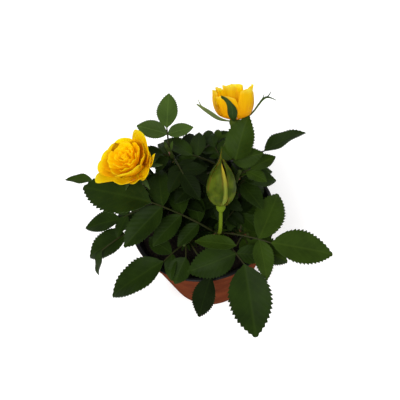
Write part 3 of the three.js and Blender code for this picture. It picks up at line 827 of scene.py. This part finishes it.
# %% Model a prickle and set its copies
PRICKLES = 9
PRICKLE_LENGTH = 2.6
PRICKLE_SEAT = 0.8
deselect()
bpy.ops.mesh.primitive_cone_add(vertices=6, radius1=0.55, radius2=0, depth=1, end_fill_type="NGON")
prickle_model = bpy.context.object
start_editing()
bpy.ops.mesh.select_mode(type="VERT")
bpy.ops.transform.translate(value=(0, 0, 0.5))
bpy.ops.transform.resize(value=(0.55, 1, 1), center_override=(0, 0, 0))
pick(prickle_model, lambda place: place.z > 0.9)
bpy.ops.transform.translate(value=(0, -0.45, 0))
bpy.ops.object.mode_set(mode="OBJECT")
prickle = read_model(prickle_model)


def set_prickle(target, curve, share, turn, radius, length):
    """Sets one prickle on a stem: its own z points out of the stem and its own -y points down it."""
    centre, way = on_curve(curve, share)[0], headings(curve, share)[0]
    side = np.cross(way, (cos(turn), sin(turn), 0))
    side /= norm(side)
    out = np.cross(side, way)
    points = prickle["points"] @ (np.array((side, way, out)) * length)
    target.add(points + centre + out * radius * PRICKLE_SEAT, prickle["faces"], 1)


for cane in CANES:
    for k in range(PRICKLES):
        share = (k + vary.uniform(0.2, 0.8)) / PRICKLES
        radius = cane["thick"][0] + (cane["thick"][1] - cane["thick"][0]) * share
        set_prickle(canes, cane["curve"], share, vary.uniform(0, 2 * pi), radius,
                    PRICKLE_LENGTH * vary.uniform(0.6, 1))
print("prickles:", PRICKLES * len(CANES))

# %% The bark's finish
bark = Finish("green_bark", "2e3a12", 0.6, 0.1)
streak = bark.noise(220, 4)
young_bark = bark.mixed(streak, "26330f", "3a4718")
old_bark = bark.mixed(streak, "241a10", "3c2f1c")
bark.coloured(bark.mixed(bark.stepped(bark.height(), 0.082, 0.105), old_bark, young_bark))
bark.bumped(bark.noise(700, 4), 0.5, 0.2)
thorn = Finish("prickle", "7d4a2c", 0.5)
thorn.coloured(thorn.mixed(thorn.noise(500), "4a2415", "6e4628"))
cane_nodes = ["cane_" + cane["name"] for cane in CANES]
canes.piece("rose_canes", [bark.material, thorn.material], cane_nodes, "cane", 50)

# %% [markdown]
# The stalk of a leaf is thin and reddish green, thick at its foot and thin at its end. Each stalk is a
# small tube of its own. Two stipules, small green wings, clasp its foot; they are made with the leaflets.

# %% Make the stalks
STALK_RADIUS = (0.75, 0.42)
STALK_RINGS = 9
STALK_SIDES = 6
STALK_FOOT = 1.5
STALK_RELIEF = 0.03
FINE_STALK = 0.75
stalks = Joined()
for cane in CANES:
    for grown in cane["grown"]:
        slim = FINE_STALK if "fine" in grown else 1
        set_tube(stalks, grown["stalk"], [radius * slim for radius in STALK_RADIUS], STALK_RINGS, STALK_SIDES,
                 STALK_RELIEF, foot=STALK_FOOT)
stalk_finish = Finish("leaf_stalk", "28330f", 0.55, 0.1)
stalk_finish.coloured(stalk_finish.mixed(stalk_finish.noise(120), "1c270b", "2e2a11"))
stalk_finish.bumped(stalk_finish.noise(900), 0.3, 0.1)
stalks.piece("leaf_stalks", [stalk_finish.material], ["leaves_" + cane["name"] for cane in CANES], "leaf", 60)

# %% [markdown]
# ## The leaflet
# A rose's leaflet is an oval blade with a short point. Its edge is cut into teeth that lean forward, its
# midrib is sunk, and its two halves rise a little from it. It could be cut from a plane by a picture of a
# leaf, but then its edge would be flat and blurred near by. It is modelled once, as a grid whose rows are
# scaled to the outline, every second row wider for a tooth. Solidify closes it into a thin blade. Its many
# copies are then bent one by one, so that no two are the same.

# %% Model the leaflets: a fine one for the large leaves and a plainer one for the many small ones
OUTLINE_STATIONS = (0, 0.04, 0.1, 0.2, 0.32, 0.45, 0.58, 0.7, 0.81, 0.9, 0.96, 1)
OUTLINE_SHARES = (0.04, 0.26, 0.5, 0.76, 0.92, 0.96, 0.9, 0.76, 0.55, 0.32, 0.14, 0)
BLADE_THICKNESS = 0.011
BLADE_TIP = 0.012
TOOTH_DEPTH = 0.0544
TOOTH_LEAN = 1.3
TOOTH_SPAN = 0.7


def add_grid(name, columns, rows):
    """A grid in edit mode, from -1 to 1 both ways."""
    deselect()
    bpy.ops.mesh.primitive_grid_add(x_subdivisions=columns, y_subdivisions=rows, size=2)
    grid = bpy.context.object
    grid.name = name
    start_editing()
    bpy.ops.mesh.select_mode(type="VERT")
    return grid


def close_grid(grid, thickness):
    """Moves the grid so that it runs from 0 to 1 along y, and gives it a thickness."""
    bpy.ops.mesh.select_all(action="SELECT")
    bpy.ops.transform.translate(value=(0, 1, 0))
    bpy.ops.transform.resize(value=(1, 0.5, 1), center_override=(0, 0, 0))
    bpy.ops.object.mode_set(mode="OBJECT")
    apply_modifier(grid, "SOLIDIFY", thickness=thickness, offset=0)
    return read_model(grid)


def model_leaflet(name, teeth):
    """A leaflet on a grid: x from -1 to 1 across it, y from 0 to 1 along it."""
    rows = 2 * teeth
    blade = add_grid(name, 4, rows)
    for row in range(rows + 1):
        place = -1 + 2 * row / rows
        pick(blade, lambda at: abs(at.y - place) < 0.3 / rows)
        share = np.interp(row / rows, OUTLINE_STATIONS, OUTLINE_SHARES)
        tooth = TOOTH_DEPTH if row % 2 else -TOOTH_DEPTH
        width = max(share * (1 + tooth), BLADE_TIP)
        bpy.ops.transform.resize(value=(width, 1, 1), center_override=(0, place, 0))
    for row in range(1, rows, 2):
        place = -1 + 2 * row / rows
        reach = np.interp(row / rows, OUTLINE_STATIONS, OUTLINE_SHARES)
        pick(blade, lambda at: abs(at.y - place) < 0.3 / rows and abs(at.x) > TOOTH_SPAN * reach)
        bpy.ops.transform.translate(value=(0, TOOTH_LEAN / rows, 0))
    return close_grid(blade, BLADE_THICKNESS)


fine_leaflet = model_leaflet("fine_leaflet", 17)
plain_leaflet = model_leaflet("plain_leaflet", 7)
print("faces of a leaflet:", len(fine_leaflet["faces"]), "and", len(plain_leaflet["faces"]))

# %% Bend a copy of the leaflet onto its place
UNDERSIDE = 3
CURL_FROM = 0.7


def set_leaflet(target, model, blade, tint, wave=0.0, curl=0.0):
    """Bends a copy of the model onto a blade and adds it, its upper face with the tint and the rest pale."""
    across, along, face = model["points"].T
    half = across * blade["width"] * 0.5
    length = blade["length"]
    phase = vary.uniform(0, 2 * pi)
    twist = vary.uniform(-0.12, 0.12)
    lift = np.abs(half) * LEAF_FOLD - LEAF_DROOP * length * along**2
    lift -= curl * length * np.maximum(along - CURL_FROM, 0) ** 2
    lift += wave * length * np.sin(along * 9 + phase) * across**2 * np.sign(across + 1e-9)
    lift += twist * half * along + face * length
    points = (blade["root"] + np.outer(along * length, blade["along"]) - np.outer(half, blade["left"])
              + np.outer(lift, blade["up"]))
    places = np.column_stack(((across + 1) / 2, along))
    finishes = np.where(model["middles"][:, 2] > BLADE_THICKNESS * 0.4, tint, UNDERSIDE)
    target.add(points, model["faces"], finishes.tolist(), places)


# %% [markdown]
# ## The leaves' finish
# The leaves are a deep, slightly shiny green; the small ones at the top are younger and paler, and every
# underside is matt and grey-green. A picture of a leaf would carry its veins, but it would repeat. Here the
# veins are drawn by a few nodes from the place on the flat map: the midrib is a line, and the side veins
# are slanted lines whose hollows make the blade quilted. Each leaf takes one tint as a whole: a deep, a
# middle or a young green, or a nearly black green that paints the shade in the depth of the crown.

# %% Mix the leaves' finishes
VEINS = 8
VEIN_SLANT = 2.4
VEIN_SHARE = 0.36


def leaf_finish(name, deep, bright, vein, roughness, shine):
    """A leaf's face: two greens in slow patches, paler veins, and a quilted bump between the side veins."""
    made = Finish(name, deep, roughness, shine)
    maths = made.maths
    across, along = made.surface_place()
    away = maths("MULTIPLY", maths("ABSOLUTE", maths("SUBTRACT", across, 0.5)), 2)
    slant = maths("SUBTRACT", maths("MULTIPLY", along, VEINS), maths("MULTIPLY", away, VEIN_SLANT))
    side = maths("ABSOLUTE", maths("SUBTRACT", maths("FRACT", slant), 0.5))
    midrib = made.stepped(away, 0.09, 0.02)
    veined = maths("MAXIMUM", maths("MULTIPLY", made.stepped(side, 0.1, 0.0), 0.45), midrib)
    green = made.mixed(made.stepped(made.noise(75, 3), 0.3, 0.7), deep, bright)
    made.coloured(made.mixed(maths("MULTIPLY", veined, VEIN_SHARE), green, vein))
    quilt = maths("SUBTRACT", maths("MULTIPLY", side, 1.6), maths("MULTIPLY", midrib, 1.2))
    made.bumped(maths("ADD", quilt, maths("MULTIPLY", made.noise(600, 3), 0.6)), 0.3, 0.3)
    return made.material


LEAF_FINISHES = [
    leaf_finish("leaf_deep", "152206", "1e2e08", "29390e", 0.5, 0.04),
    leaf_finish("leaf_mid", "1f2e07", "2a3c0c", "354612", 0.5, 0.04),
    leaf_finish("leaf_young", "2e4016", "3b501c", "4a6028", 0.46, 0.06),
    leaf_finish("leaf_underside", "2a3a18", "34461f", "42542c", 0.7, 0.03),
    # the last finish is painted shade: a nearly black green for the leaves deep in the crown
    leaf_finish("leaf_painted_shade", "0b1403", "111c05", "1a2708", 0.55, 0.03),
]
print("leaf finishes:", [finish.name for finish in LEAF_FINISHES])

# %% [markdown]
# ## Dress each cane with its leaves
# The leaves of one cane are one piece, as in the CAD. The large leaves take the fine leaflet, the others
# the plainer one. A leaf that has no tint of its own takes, in the depth of the crown, the nearly black green
# of painted shade, and further out one of the other tints by chance.

# %% Set the leaves
STIPULE = dict(length=7.5, width=2.2)
STIPULE_TURN = 0.35
LARGE_LEAFLET = 14
TINT_SHARES = (0.58, 0.4, 0.02)
# the tint of painted shade, a nearly black green, and how far out in the crown it is dealt, in front and
# behind
PAINTED_SHADE_TINT = 4
PAINTED_SHADE_REACH_IN_FRONT = 1.03
PAINTED_SHADE_REACH_BEHIND = 0.66
for cane in CANES:
    foliage = Joined()
    for grown in cane["grown"]:
        tint, by_chance = grown["tint"], int(vary.choice(3, p=TINT_SHARES))
        if tint is None:
            in_front = grown["stalk"][-1][1] < 0
            # leaves deep in the crown take the nearly black green of painted shade
            in_painted_shade = out_in_crown(grown).mean() < (PAINTED_SHADE_REACH_IN_FRONT if in_front else PAINTED_SHADE_REACH_BEHIND)
            tint = PAINTED_SHADE_TINT if in_painted_shade else by_chance
        for blade in grown["blades"]:
            large = "fine" not in grown and blade["length"] > LARGE_LEAFLET
            set_leaflet(foliage, fine_leaflet if large else plain_leaflet, blade, tint,
                        vary.uniform(0.012, 0.04), vary.uniform(0, 0.9))
        foot, way = grown["stalk"][0], headings(grown["stalk"], 0.02)[0]
        side = np.cross(way, UP)
        side /= max(norm(side), 1e-6)
        for turn in (-STIPULE_TURN, STIPULE_TURN):
            along = way * cos(turn) + side * sin(turn)
            left = np.cross(np.cross(side, way), along)
            stipule = dict(root=foot, along=along, left=left, up=np.cross(along, left), **STIPULE)
            set_leaflet(foliage, plain_leaflet, stipule, tint)
    foliage.piece("foliage_" + cane["name"], LEAF_FINISHES, ["leaves_" + cane["name"]], "leaf", 42)

# %% [markdown]
# ## The petal
# A petal is a thin sheet, narrow at its claw and wide above, that wraps round the flower's axis; its edge
# rolls outwards and ruffles. It could be a subdivided plane sculpted by hand, one for each of some fifty
# petals. A blank is modelled once instead: a grid, closed by Solidify. The rule of the CAD then wraps each
# copy round the axis along its own midline, and adds the roll and the ruffle of the rim.

# %% Model the petal blank
petal_blank = close_grid(add_grid("petal_blank", 12, 12), 1)
print("faces of a petal:", len(petal_blank["faces"]))

# %% Wrap a copy of the petal round the flower's axis
PETAL_NECK = 0.4
PETAL_SHOULDER = 0.6


def along_midline(midline, shares):
    """Points on the smooth line through the midline's points, in even steps of its knots."""
    knots = np.array(midline, float)
    last = len(knots) - 1
    place = np.clip(shares, 0, 1) * last
    k = np.minimum(place.astype(int), last - 1)
    w = (place - k)[:, None]
    before, here = knots[np.maximum(k - 1, 0)], knots[k]
    there, after = knots[k + 1], knots[np.minimum(k + 2, last)]
    enter, leave = (there - before) / 2, (after - here) / 2
    return ((2 * here - 2 * there + enter + leave) * w**3 + (-3 * here + 3 * there - 2 * enter - leave) * w**2
            + enter * w + here)


def set_petal(target, place, turn, half, midline, droop=0.0, point=0.14, roll_out=0.0, skew=0.0, finish=0,
              narrow=0.25, thick=0.42, ruffle=0.0, waves=1.5, notch=0.0, twist=0.0, sweep=0.0):
    """A petal with a midline of (distance from the axis, height); "half" is half its width, in degrees.

    Its rim may droop, be pointed, roll out, slope, ruffle or be notched; its blade may twist or sweep aside.
    """
    u, v, face = petal_blank["points"].T
    reach = v * (1 - point * u**2 * v - notch * np.maximum(0, 1 - 9 * u**2) * v)
    middle = along_midline(midline, reach)
    ahead, behind = np.minimum(reach + 1e-3, 1), np.maximum(reach - 1e-3, 0)
    slope = along_midline(midline, ahead) - along_midline(midline, behind)
    slope /= norm(slope, axis=1)[:, None]
    phase = vary.uniform(0, 2 * pi)
    rim = v**3
    wave = ruffle * rim * np.sin(waves * pi * u + phase) + roll_out * rim * u**2
    lift = thick * (1 - 0.6 * rim) * face + wave
    radius = middle[:, 0] + slope[:, 1] * lift
    height = middle[:, 1] - slope[:, 0] * lift - droop * u**2 * v + skew * u * v**2
    opening = PETAL_NECK + (1 - PETAL_NECK) * np.sin(np.minimum(1, v / PETAL_SHOULDER) * 0.5 * np.pi)
    closing = 1 - narrow * (np.maximum(0, v - PETAL_NECK) / (1 - PETAL_NECK)) ** 1.5
    side = u * radians(half) * opening * closing
    height = height + sin(radians(twist)) * radius * side
    angle = radians(turn) + side * cos(radians(twist)) + radians(sweep) * v**6
    points = np.column_stack((radius * np.cos(angle), radius * np.sin(angle), height))
    target.add(points @ place[:3, :3].T + place[:3, 3], petal_blank["faces"], finish,
               np.column_stack(((u + 1) / 2, reach)))


# %% [markdown]
# ## The flowers
# One rose is fully open and leans to the left, one is half open on a tall stem at the back, and one is a
# closed bud in front. Each has its own axis, and its petals stand in rings round it: the outer ones wide
# and flat, the inner ones tighter and steeper. Real petals are never even, so each is turned and sized a
# little by chance.

# %% Where each flower stands
def flower_place(foot, lean, bearing):
    """The turn from upright to the flower's axis, with the place of its foot, as a 4 x 4 array."""
    b, tip = radians(bearing), radians(lean)
    axis = Vector((sin(tip) * cos(b), sin(tip) * sin(b), cos(tip)))
    turn = Vector((0, 0, 1)).rotation_difference(axis).to_matrix().to_4x4()
    return np.array(Matrix.Translation(Vector(foot)) @ turn), np.array(axis)


FLOWERS = dict(
    open_rose=dict(cane="left", foot=(-35, -2.9, 161.4), lean=18, bearing=190),
    half_open_rose=dict(cane="back", foot=(27.7, 14, 170), lean=47, bearing=77),
    rose_bud=dict(cane="bud", foot=(12, -26.5, 142), lean=29, bearing=74),
)
HIP_DEPTH = 5
FLOWER_STEM_RADIUS = 1.1
for name, flower in FLOWERS.items():
    flower["place"], flower["axis"] = flower_place(flower["foot"], flower["lean"], flower["bearing"])
    curve = cane_named[flower["cane"]]["curve"]
    way = headings(curve, 1)[0]
    start = curve[-1] - way * 0.2
    joint = np.array(flower["foot"]) - flower["axis"] * HIP_DEPTH / 2
    bend = norm(joint - start) / 3
    flower["stem"] = np.array((start, start + way * bend, joint - flower["axis"] * bend, joint))
print("flowers:", list(FLOWERS))

# %% [markdown]
# Under the petals sits the hip, a small green urn. It is grown from a disc like the pot, with fewer sides,
# and rounded by a Subdivision Surface.

# %% Model the hip
HIP_PROFILE = [(0.9, -5.6), (1.5, -4.8), (2.7, -3.4), (3.2, -1.8), (3.1, -0.6), (2.4, 0.4), (1.4, 1)]
hip_model = grow_round("hip", HIP_PROFILE, 10)
hip_model.data.transform(Matrix.Scale(1 / MM, 4))
apply_modifier(hip_model, "SUBSURF", levels=1, render_levels=1)
hip = read_model(hip_model)
print("faces of a hip:", len(hip["faces"]))

# %% [markdown]
# ## The petals' finishes
# The petals are a clear yellow that deepens to orange at their claws and pales to lemon at the rims. Light
# passes through them and comes out warmer, which subsurface scattering gives; a faint glow stands for the
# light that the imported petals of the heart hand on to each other. A picture of a petal would repeat, so the
# colour follows the place along the petal on its flat map, and fine veins run up it. The outer petals, the
# heart and the cup of the half-open rose each have a finish of their own.

# %% Mix the petals' finishes
STREAKS_ACROSS = 26
STREAKS_ALONG = 2.5


def petal_finish(name, colours, places, vein, glow):
    made = Finish(name, colours[0], 0.6, 0.05, Subsurface_Weight=0.7, Subsurface_Scale=0.008,
                  Subsurface_Radius=(1.0, 0.8, 0.1), Emission_Color=(*linear(colours[1]), 1),
                  Emission_Strength=glow)
    across, along = made.surface_place()
    drawn_out = {0: made.maths("MULTIPLY", across, STREAKS_ACROSS),
                 1: made.maths("MULTIPLY", along, STREAKS_ALONG)}
    streak = made.noise(1.0, 3, made.node("CombineXYZ", drawn_out).outputs[0])
    share = made.maths("MULTIPLY", made.stepped(streak, 0.45, 0.75), 0.5)
    made.coloured(made.mixed(share, made.ramp(along, list(zip(places, colours))), vein))
    made.bumped(streak, 0.5, 0.3)
    return made.material


PETAL_FINISHES = [
    petal_finish("petal_outer", ("b87000", "dc8e00", "e29800", "eabc10"), (0, 0.35, 0.8, 1), "d28600", 0.03),
    petal_finish("petal_heart", ("d09000", "ecaa00", "f2b400", "f4c810"), (0, 0.45, 0.85, 1), "de9c00", 0.11),
    petal_finish("petal_cup", ("b86000", "ea9000", "f0b000", "f2dc38"), (0, 0.45, 0.85, 1), "d68200", 0.06),
]

# %% [markdown]
# ## The open rose
# Ten petals lie outermost, each with its own bend: one stands up at the back right, the others spread and
# roll their rims. Five rings follow inside them, and two petals wound into the heart. The outermost petals
# are what one looks at, so each has a row of its own in a table; the rings are dealt out by chance.

# %% Make the open rose's petals
PETAL_JITTER = 15.0
OPEN_OUTER = [  # turn, half, midline, droop, point, roll_out, skew
    (191, 28, ((1.5, 0), (10, 3), (17, 5.4), (23.8, 7.6)), 0.5, 0.3, -1, 2.6),
    (156, 38, ((1.5, 0), (9, 3.5), (14, 7.6), (17.2, 11.6)), 1, 0.2, -0.6),
    (173, 32, ((1.5, 0), (9.5, 3.2), (15.4, 6.4), (20.4, 9.4)), 0.8, 0.3, -0.6),
    (104, 44, ((1.5, 0), (8.5, 4), (12, 9), (14, 12.8)), 1.2, 0.12, -0.6),
    (27, 51, ((1.5, 0), (9, 4), (13.6, 11), (16.6, 18.4)), 1, 0.2, 1),
    (327, 43, ((1.5, 0), (8, 2), (13, 4.6), (15.6, 8.4)), 0.4, 0.16, -0.6, 4.5),
    (-18, 17, ((1.5, 0), (9.5, 2), (15, 6), (18.8, 11.6)), 0.6, 0.3, -1),
    (249, 32, ((1.5, 0), (8.6, 2), (13.5, 5.8), (16.2, 10)), 0.5, 0.12, -0.6),
    (278, 22, ((1.5, 0), (8, 1), (12.5, 3.8), (16.2, 7.6)), 1, 0.2, -0.6),
    (275, 51, ((1.5, 0.5), (7.2, 3), (11, 8.6), (12.9, 15)), 0.6, 0.08, 0.4),
]
OPEN_RINGS = [  # count, first turn, half, midline, droop, finish
    (4, 143, 46, ((1.5, 0.5), (6.6, 4), (11, 9), (13.4, 13.4)), 0.5, 0),
    (4, 95, 48, ((1.2, 1), (5.4, 5.5), (9, 10.5), (11.2, 14.4)), 0, 1),
    (4, 50, 50, ((1.2, 1), (4.2, 6.5), (6.8, 11.5), (8.6, 15)), -0.2, 1),
    (4, 8, 52, ((1, 1), (3, 7), (4.8, 12), (6.2, 15.4)), -0.4, 1),
    (3, 30, 64, ((0.9, 1), (2, 7.5), (3.1, 12), (4.1, 15.6)), -0.6, 1),
    (2, 90, 88, ((0.7, 1), (1.2, 7.5), (1.6, 12), (2.1, 15.2)), -0.6, 1),
]


def make_petals(name, outer, rings, ruffle, finish=0):
    petals, place = Joined(), FLOWERS[name]["place"]
    for petal in outer:
        set_petal(petals, place, *petal, ruffle=ruffle, finish=finish)
    for count, start, half, midline, droop, ring_finish in rings:
        for k in range(count):
            turn = start + 360 * k / count + vary.uniform(-1, 1) * PETAL_JITTER
            wider, taller = vary.uniform(0.86, 1.08), vary.uniform(0.86, 1.04)
            sized = [(r * wider, z * taller) for r, z in midline]
            set_petal(petals, place, turn, half * vary.uniform(0.75, 1.05), sized, droop,
                      ruffle=ruffle * vary.uniform(0.6, 2), waves=vary.uniform(1.5, 3),
                      roll_out=vary.uniform(-1.2, 0.2), point=vary.uniform(0.05, 0.2),
                      notch=vary.uniform(0, 0.02), finish=ring_finish)
    petals.piece(name + "_petals", PETAL_FINISHES, [name], "petal", 60)


make_petals("open_rose", OPEN_OUTER, OPEN_RINGS, 0.3)

# %% [markdown]
# ## The sepals
# Five green sepals hold a flower: narrow, pointed blades, some with small side lobes like thin fingers. Under
# the open rose they stand out stiffly, so the plain leaflet, made narrow, serves as a sepal. Those of the
# half-open rose still follow its cup and let only their tips go, so the petal blank makes them and their
# lobes. Below them come the hip and the flower's stem.

# %% Make stems, hips and sepals
SEPAL_PITCH = -20
SEPAL_LENGTH = 15
SEPAL_WIDTH = 3.6
SEPAL_SINK = 0.8
SEPAL_LOBES = ((0.35, 1, 4), (0.5, -1, 3.5))  # share along it, side, length
LOBE_TURN = 0.6
LOBE_WIDTH = 0.2
STEM_RINGS = 26
STEM_RELIEF = 0.02
STEM_PRICKLE = 0.5
HALF_SEPALS = [  # turn, half, midline, narrow, twist, finish, sweep
    (256, 15, ((2, -1), (10, 2.2), (13.6, 8), (14.8, 14)), 0.9, 0, 0, -26),
    (185, 9, ((2, -1), (9, 0.4), (16, 4.6), (23, 9)), 0.75, 35, 3, 0),
    (-5, 4.5, ((2.5, -1), (10.2, 3.4), (16.4, 11.6), (20, 13.4), (25, 11.6)), 0.7, 20, 2, 0),
    (183, 2, ((17, 5.2), (18.8, 6.6), (20.6, 8.8), (22, 11.8)), 0.8, 0, 3, 0),
    (-4, 1.7, ((15, 9.8), (16, 11.4), (17, 13.2), (17.6, 15.4)), 0.8, 0, 0, 0),
    (-6, 1.7, ((18.6, 13), (19.8, 14), (20.8, 15.2), (21.4, 16.8)), 0.8, 0, 0, 0),
    (92, 16, ((2, -1), (9.4, 3), (12.6, 10), (11, 22)), 0.95, 0, 0, 0),
    (40, 16, ((2, -1), (9.4, 3), (13.2, 9), (15, 14)), 0.95, 0, 0, 0),
]
SEPAL_FINISHES = [  # face and underside have the numbers that a leaf's have
    leaf_finish("sepal_face", "1e300c", "2b3e10", "465624", 0.5, 0.1),
    *LEAF_FINISHES[1:3],
    leaf_finish("sepal_back", "5a6838", "6e7a48", "8a925e", 0.6, 0.1),
]


def set_sepal(target, place, turn):
    """A sepal at an angle round the axis, with its two lobes."""
    ways = blade_frame(turn, SEPAL_PITCH, 0)
    root = place[:3, :3] @ (np.array((0, 0, -SEPAL_SINK)) + ways[0] * SEPAL_SINK) + place[:3, 3]
    along, left, up = (place[:3, :3] @ way for way in ways)
    blade = dict(root=root, along=along, left=left, up=up, length=SEPAL_LENGTH, width=SEPAL_WIDTH)
    set_leaflet(target, plain_leaflet, blade, 0, wave=0.01)
    for share, side, length in SEPAL_LOBES:
        way = along * cos(LOBE_TURN) + left * sin(LOBE_TURN) * side
        lobe = dict(root=blade_points(blade, [share], [0])[0], along=way, left=np.cross(up, way), up=up,
                    length=length, width=length * LOBE_WIDTH)
        set_leaflet(target, plain_leaflet, lobe, 0)


def make_stem(name, finish, prickles, slot="cane"):
    """The hip of a flower with the stem below it."""
    flower, stem = FLOWERS[name], Joined()
    stem.add(hip["points"] @ flower["place"][:3, :3].T + flower["place"][:3, 3], hip["faces"])
    thick = cane_named[flower["cane"]]["thick"][1]
    set_tube(stem, flower["stem"], (thick, FLOWER_STEM_RADIUS), STEM_RINGS, CANE_SIDES, STEM_RELIEF)
    for k in range(prickles):
        share = (k + 0.5) / (prickles + 1)
        turn = vary.uniform(0, 6.28)
        set_prickle(stem, flower["stem"], share, turn, FLOWER_STEM_RADIUS, STEM_PRICKLE * PRICKLE_LENGTH)
    stem.piece(name + "_stem", [finish.material, thorn.material], [name], slot, 50)


green_stem = Finish("flower_stem", "5f7a24", 0.5, 0.04)
green_stem.coloured(green_stem.mixed(green_stem.noise(260, 3), "2c3c0e", "44521a"))
green_stem.bumped(green_stem.noise(900, 3), 0.3, 0.12)

open_sepals, half_sepals = Joined(), Joined()
for turn in range(0, 360, 72):
    set_sepal(open_sepals, FLOWERS["open_rose"]["place"], turn)
open_sepals.piece("open_rose_sepals", SEPAL_FINISHES, ["open_rose"], "leaf", 45)
make_stem("open_rose", green_stem, 4)
place = FLOWERS["half_open_rose"]["place"]
for turn, half, midline, narrow, twist, finish, sweep in HALF_SEPALS:
    set_petal(half_sepals, place, turn, half, midline, finish=finish, narrow=narrow, thick=0.6, point=0.1,
              twist=twist, sweep=sweep)
half_sepals.piece("half_open_rose_sepals", SEPAL_FINISHES, ["half_open_rose"], "leaf", 45)
make_stem("half_open_rose", green_stem, 4)

# %% [markdown]
# ## The half-open rose
# This one is still a cup: its outer petals have just let go, and their rims begin to roll.

# %% Make the half-open rose's petals
HALF_OUTER = [
    (90, 44, ((1.5, 0), (8.4, 3), (11.6, 10), (11.2, 19.6)), 1.5, 0.22, -0.6),
    (166, 52, ((1.5, 0), (9, 2.4), (12.6, 8.8), (12.9, 17.4)), 0.5, 0.08, -0.6),
    (12, 44, ((1.5, 0), (8.6, 2.6), (11.4, 9.6), (10.8, 18)), 0.5, 0.1, -0.6),
    (312, 46, ((1.5, 0), (8.8, 2.6), (11.6, 9.4), (11.4, 18.2)), 0.5, 0.08, -0.6),
    (229, 46, ((1.5, 0), (9, 2.6), (12.3, 8.4), (13.2, 13.6)), 0.5, 0.1, -1),
]
HALF_RINGS = [
    (4, -21, 52, ((1.2, 1), (5.6, 5), (9, 12), (10.2, 20.6)), 0, 2),
    (4, 10, 56, ((1, 1), (4, 7), (6.4, 13), (7.8, 20.4)), -0.5, 2),
    (3, 40, 66, ((0.8, 1), (2.4, 7), (3.4, 13), (3.6, 17.6)), -0.5, 2),
]
make_petals("half_open_rose", HALF_OUTER, HALF_RINGS, 0.5, finish=2)

# %% [markdown]
# ## The bud
# The bud's five sepals still clasp it, pale green and reddish at their edges, and drawn out to a long tip.
# Where two of them part in front, the yellow-green petals show as a stripe. Sepals that clasp are sheets
# wrapped round the axis, so the petal blank makes them too.

# %% Make the bud
bud_petal = Finish("bud_petal", "c9cf4a", 0.5, 0.04, Subsurface_Weight=0.15, Subsurface_Scale=0.002)
across, along = bud_petal.surface_place()
bud_petal.coloured(bud_petal.ramp(along, [(0.0, "5c6a20"), (0.6, "7c8432"), (1.0, "a88c20")]))
bud_petal.bumped(bud_petal.noise(400), 0.2, 0.2)

bud_sepal = Finish("bud_sepal", "3c4a12", 0.55, 0.06, Subsurface_Weight=0.1, Subsurface_Scale=0.002)
across, along = bud_sepal.surface_place()
rim = bud_sepal.maths("ABSOLUTE", bud_sepal.maths("SUBTRACT", across, 0.5))
rim_red = bud_sepal.stepped(rim, 0.36, 0.5, 0.0, 0.75)
patchy = bud_sepal.stepped(bud_sepal.noise(150, 3), 0.4, 0.65)
leafy = bud_sepal.mixed(patchy, "2f3c04", "4c5810")
bud_sepal.coloured(bud_sepal.mixed(bud_sepal.maths("MULTIPLY", rim_red, patchy), leafy, "5e4218"))
bud_sepal.bumped(bud_sepal.noise(500, 3), 0.35, 0.25)

bud_green = Finish("bud_stem_green", "5a6c14", 0.5, 0.04)
bud_green.coloured(bud_green.mixed(bud_green.stepped(bud_green.height(), 0.112, 0.122), "33290f", "5a6c14"))
bud_green.bumped(bud_green.noise(900, 3), 0.25, 0.1)

BUD_HEART = ((1, 0), (5.4, 3.6), (7.4, 11), (5.4, 20), (1.2, 28.5))
BUD_MIDLINE = ((1.6, 0), (6.4, 3.6), (8.7, 11), (6.6, 20.5), (2.6, 27))
BUD_SEPALS = [(95, 42, 37), (27, 42, 30), (163, 42, 30), (235, 38, 31), (323, 37, 30)]  # turn, half, tip
place = FLOWERS["rose_bud"]["place"]
bud_heart, bud_sepals = Joined(), Joined()
for turn in (0, 120, 240):
    set_petal(bud_heart, place, turn, 62, BUD_HEART)
bud_heart.piece("rose_bud_petals", [bud_petal.material], ["rose_bud"], "bud", 60)
for turn, half, tip in BUD_SEPALS:
    set_petal(bud_sepals, place, turn, half, (*BUD_MIDLINE, (0.8, tip)), narrow=0.75, thick=0.7, ruffle=0.2,
              point=0.05)
bud_sepals.piece("rose_bud_sepals", [bud_sepal.material], ["rose_bud"], "bud", 60)
make_stem("rose_bud", bud_green, 0, slot="bud")
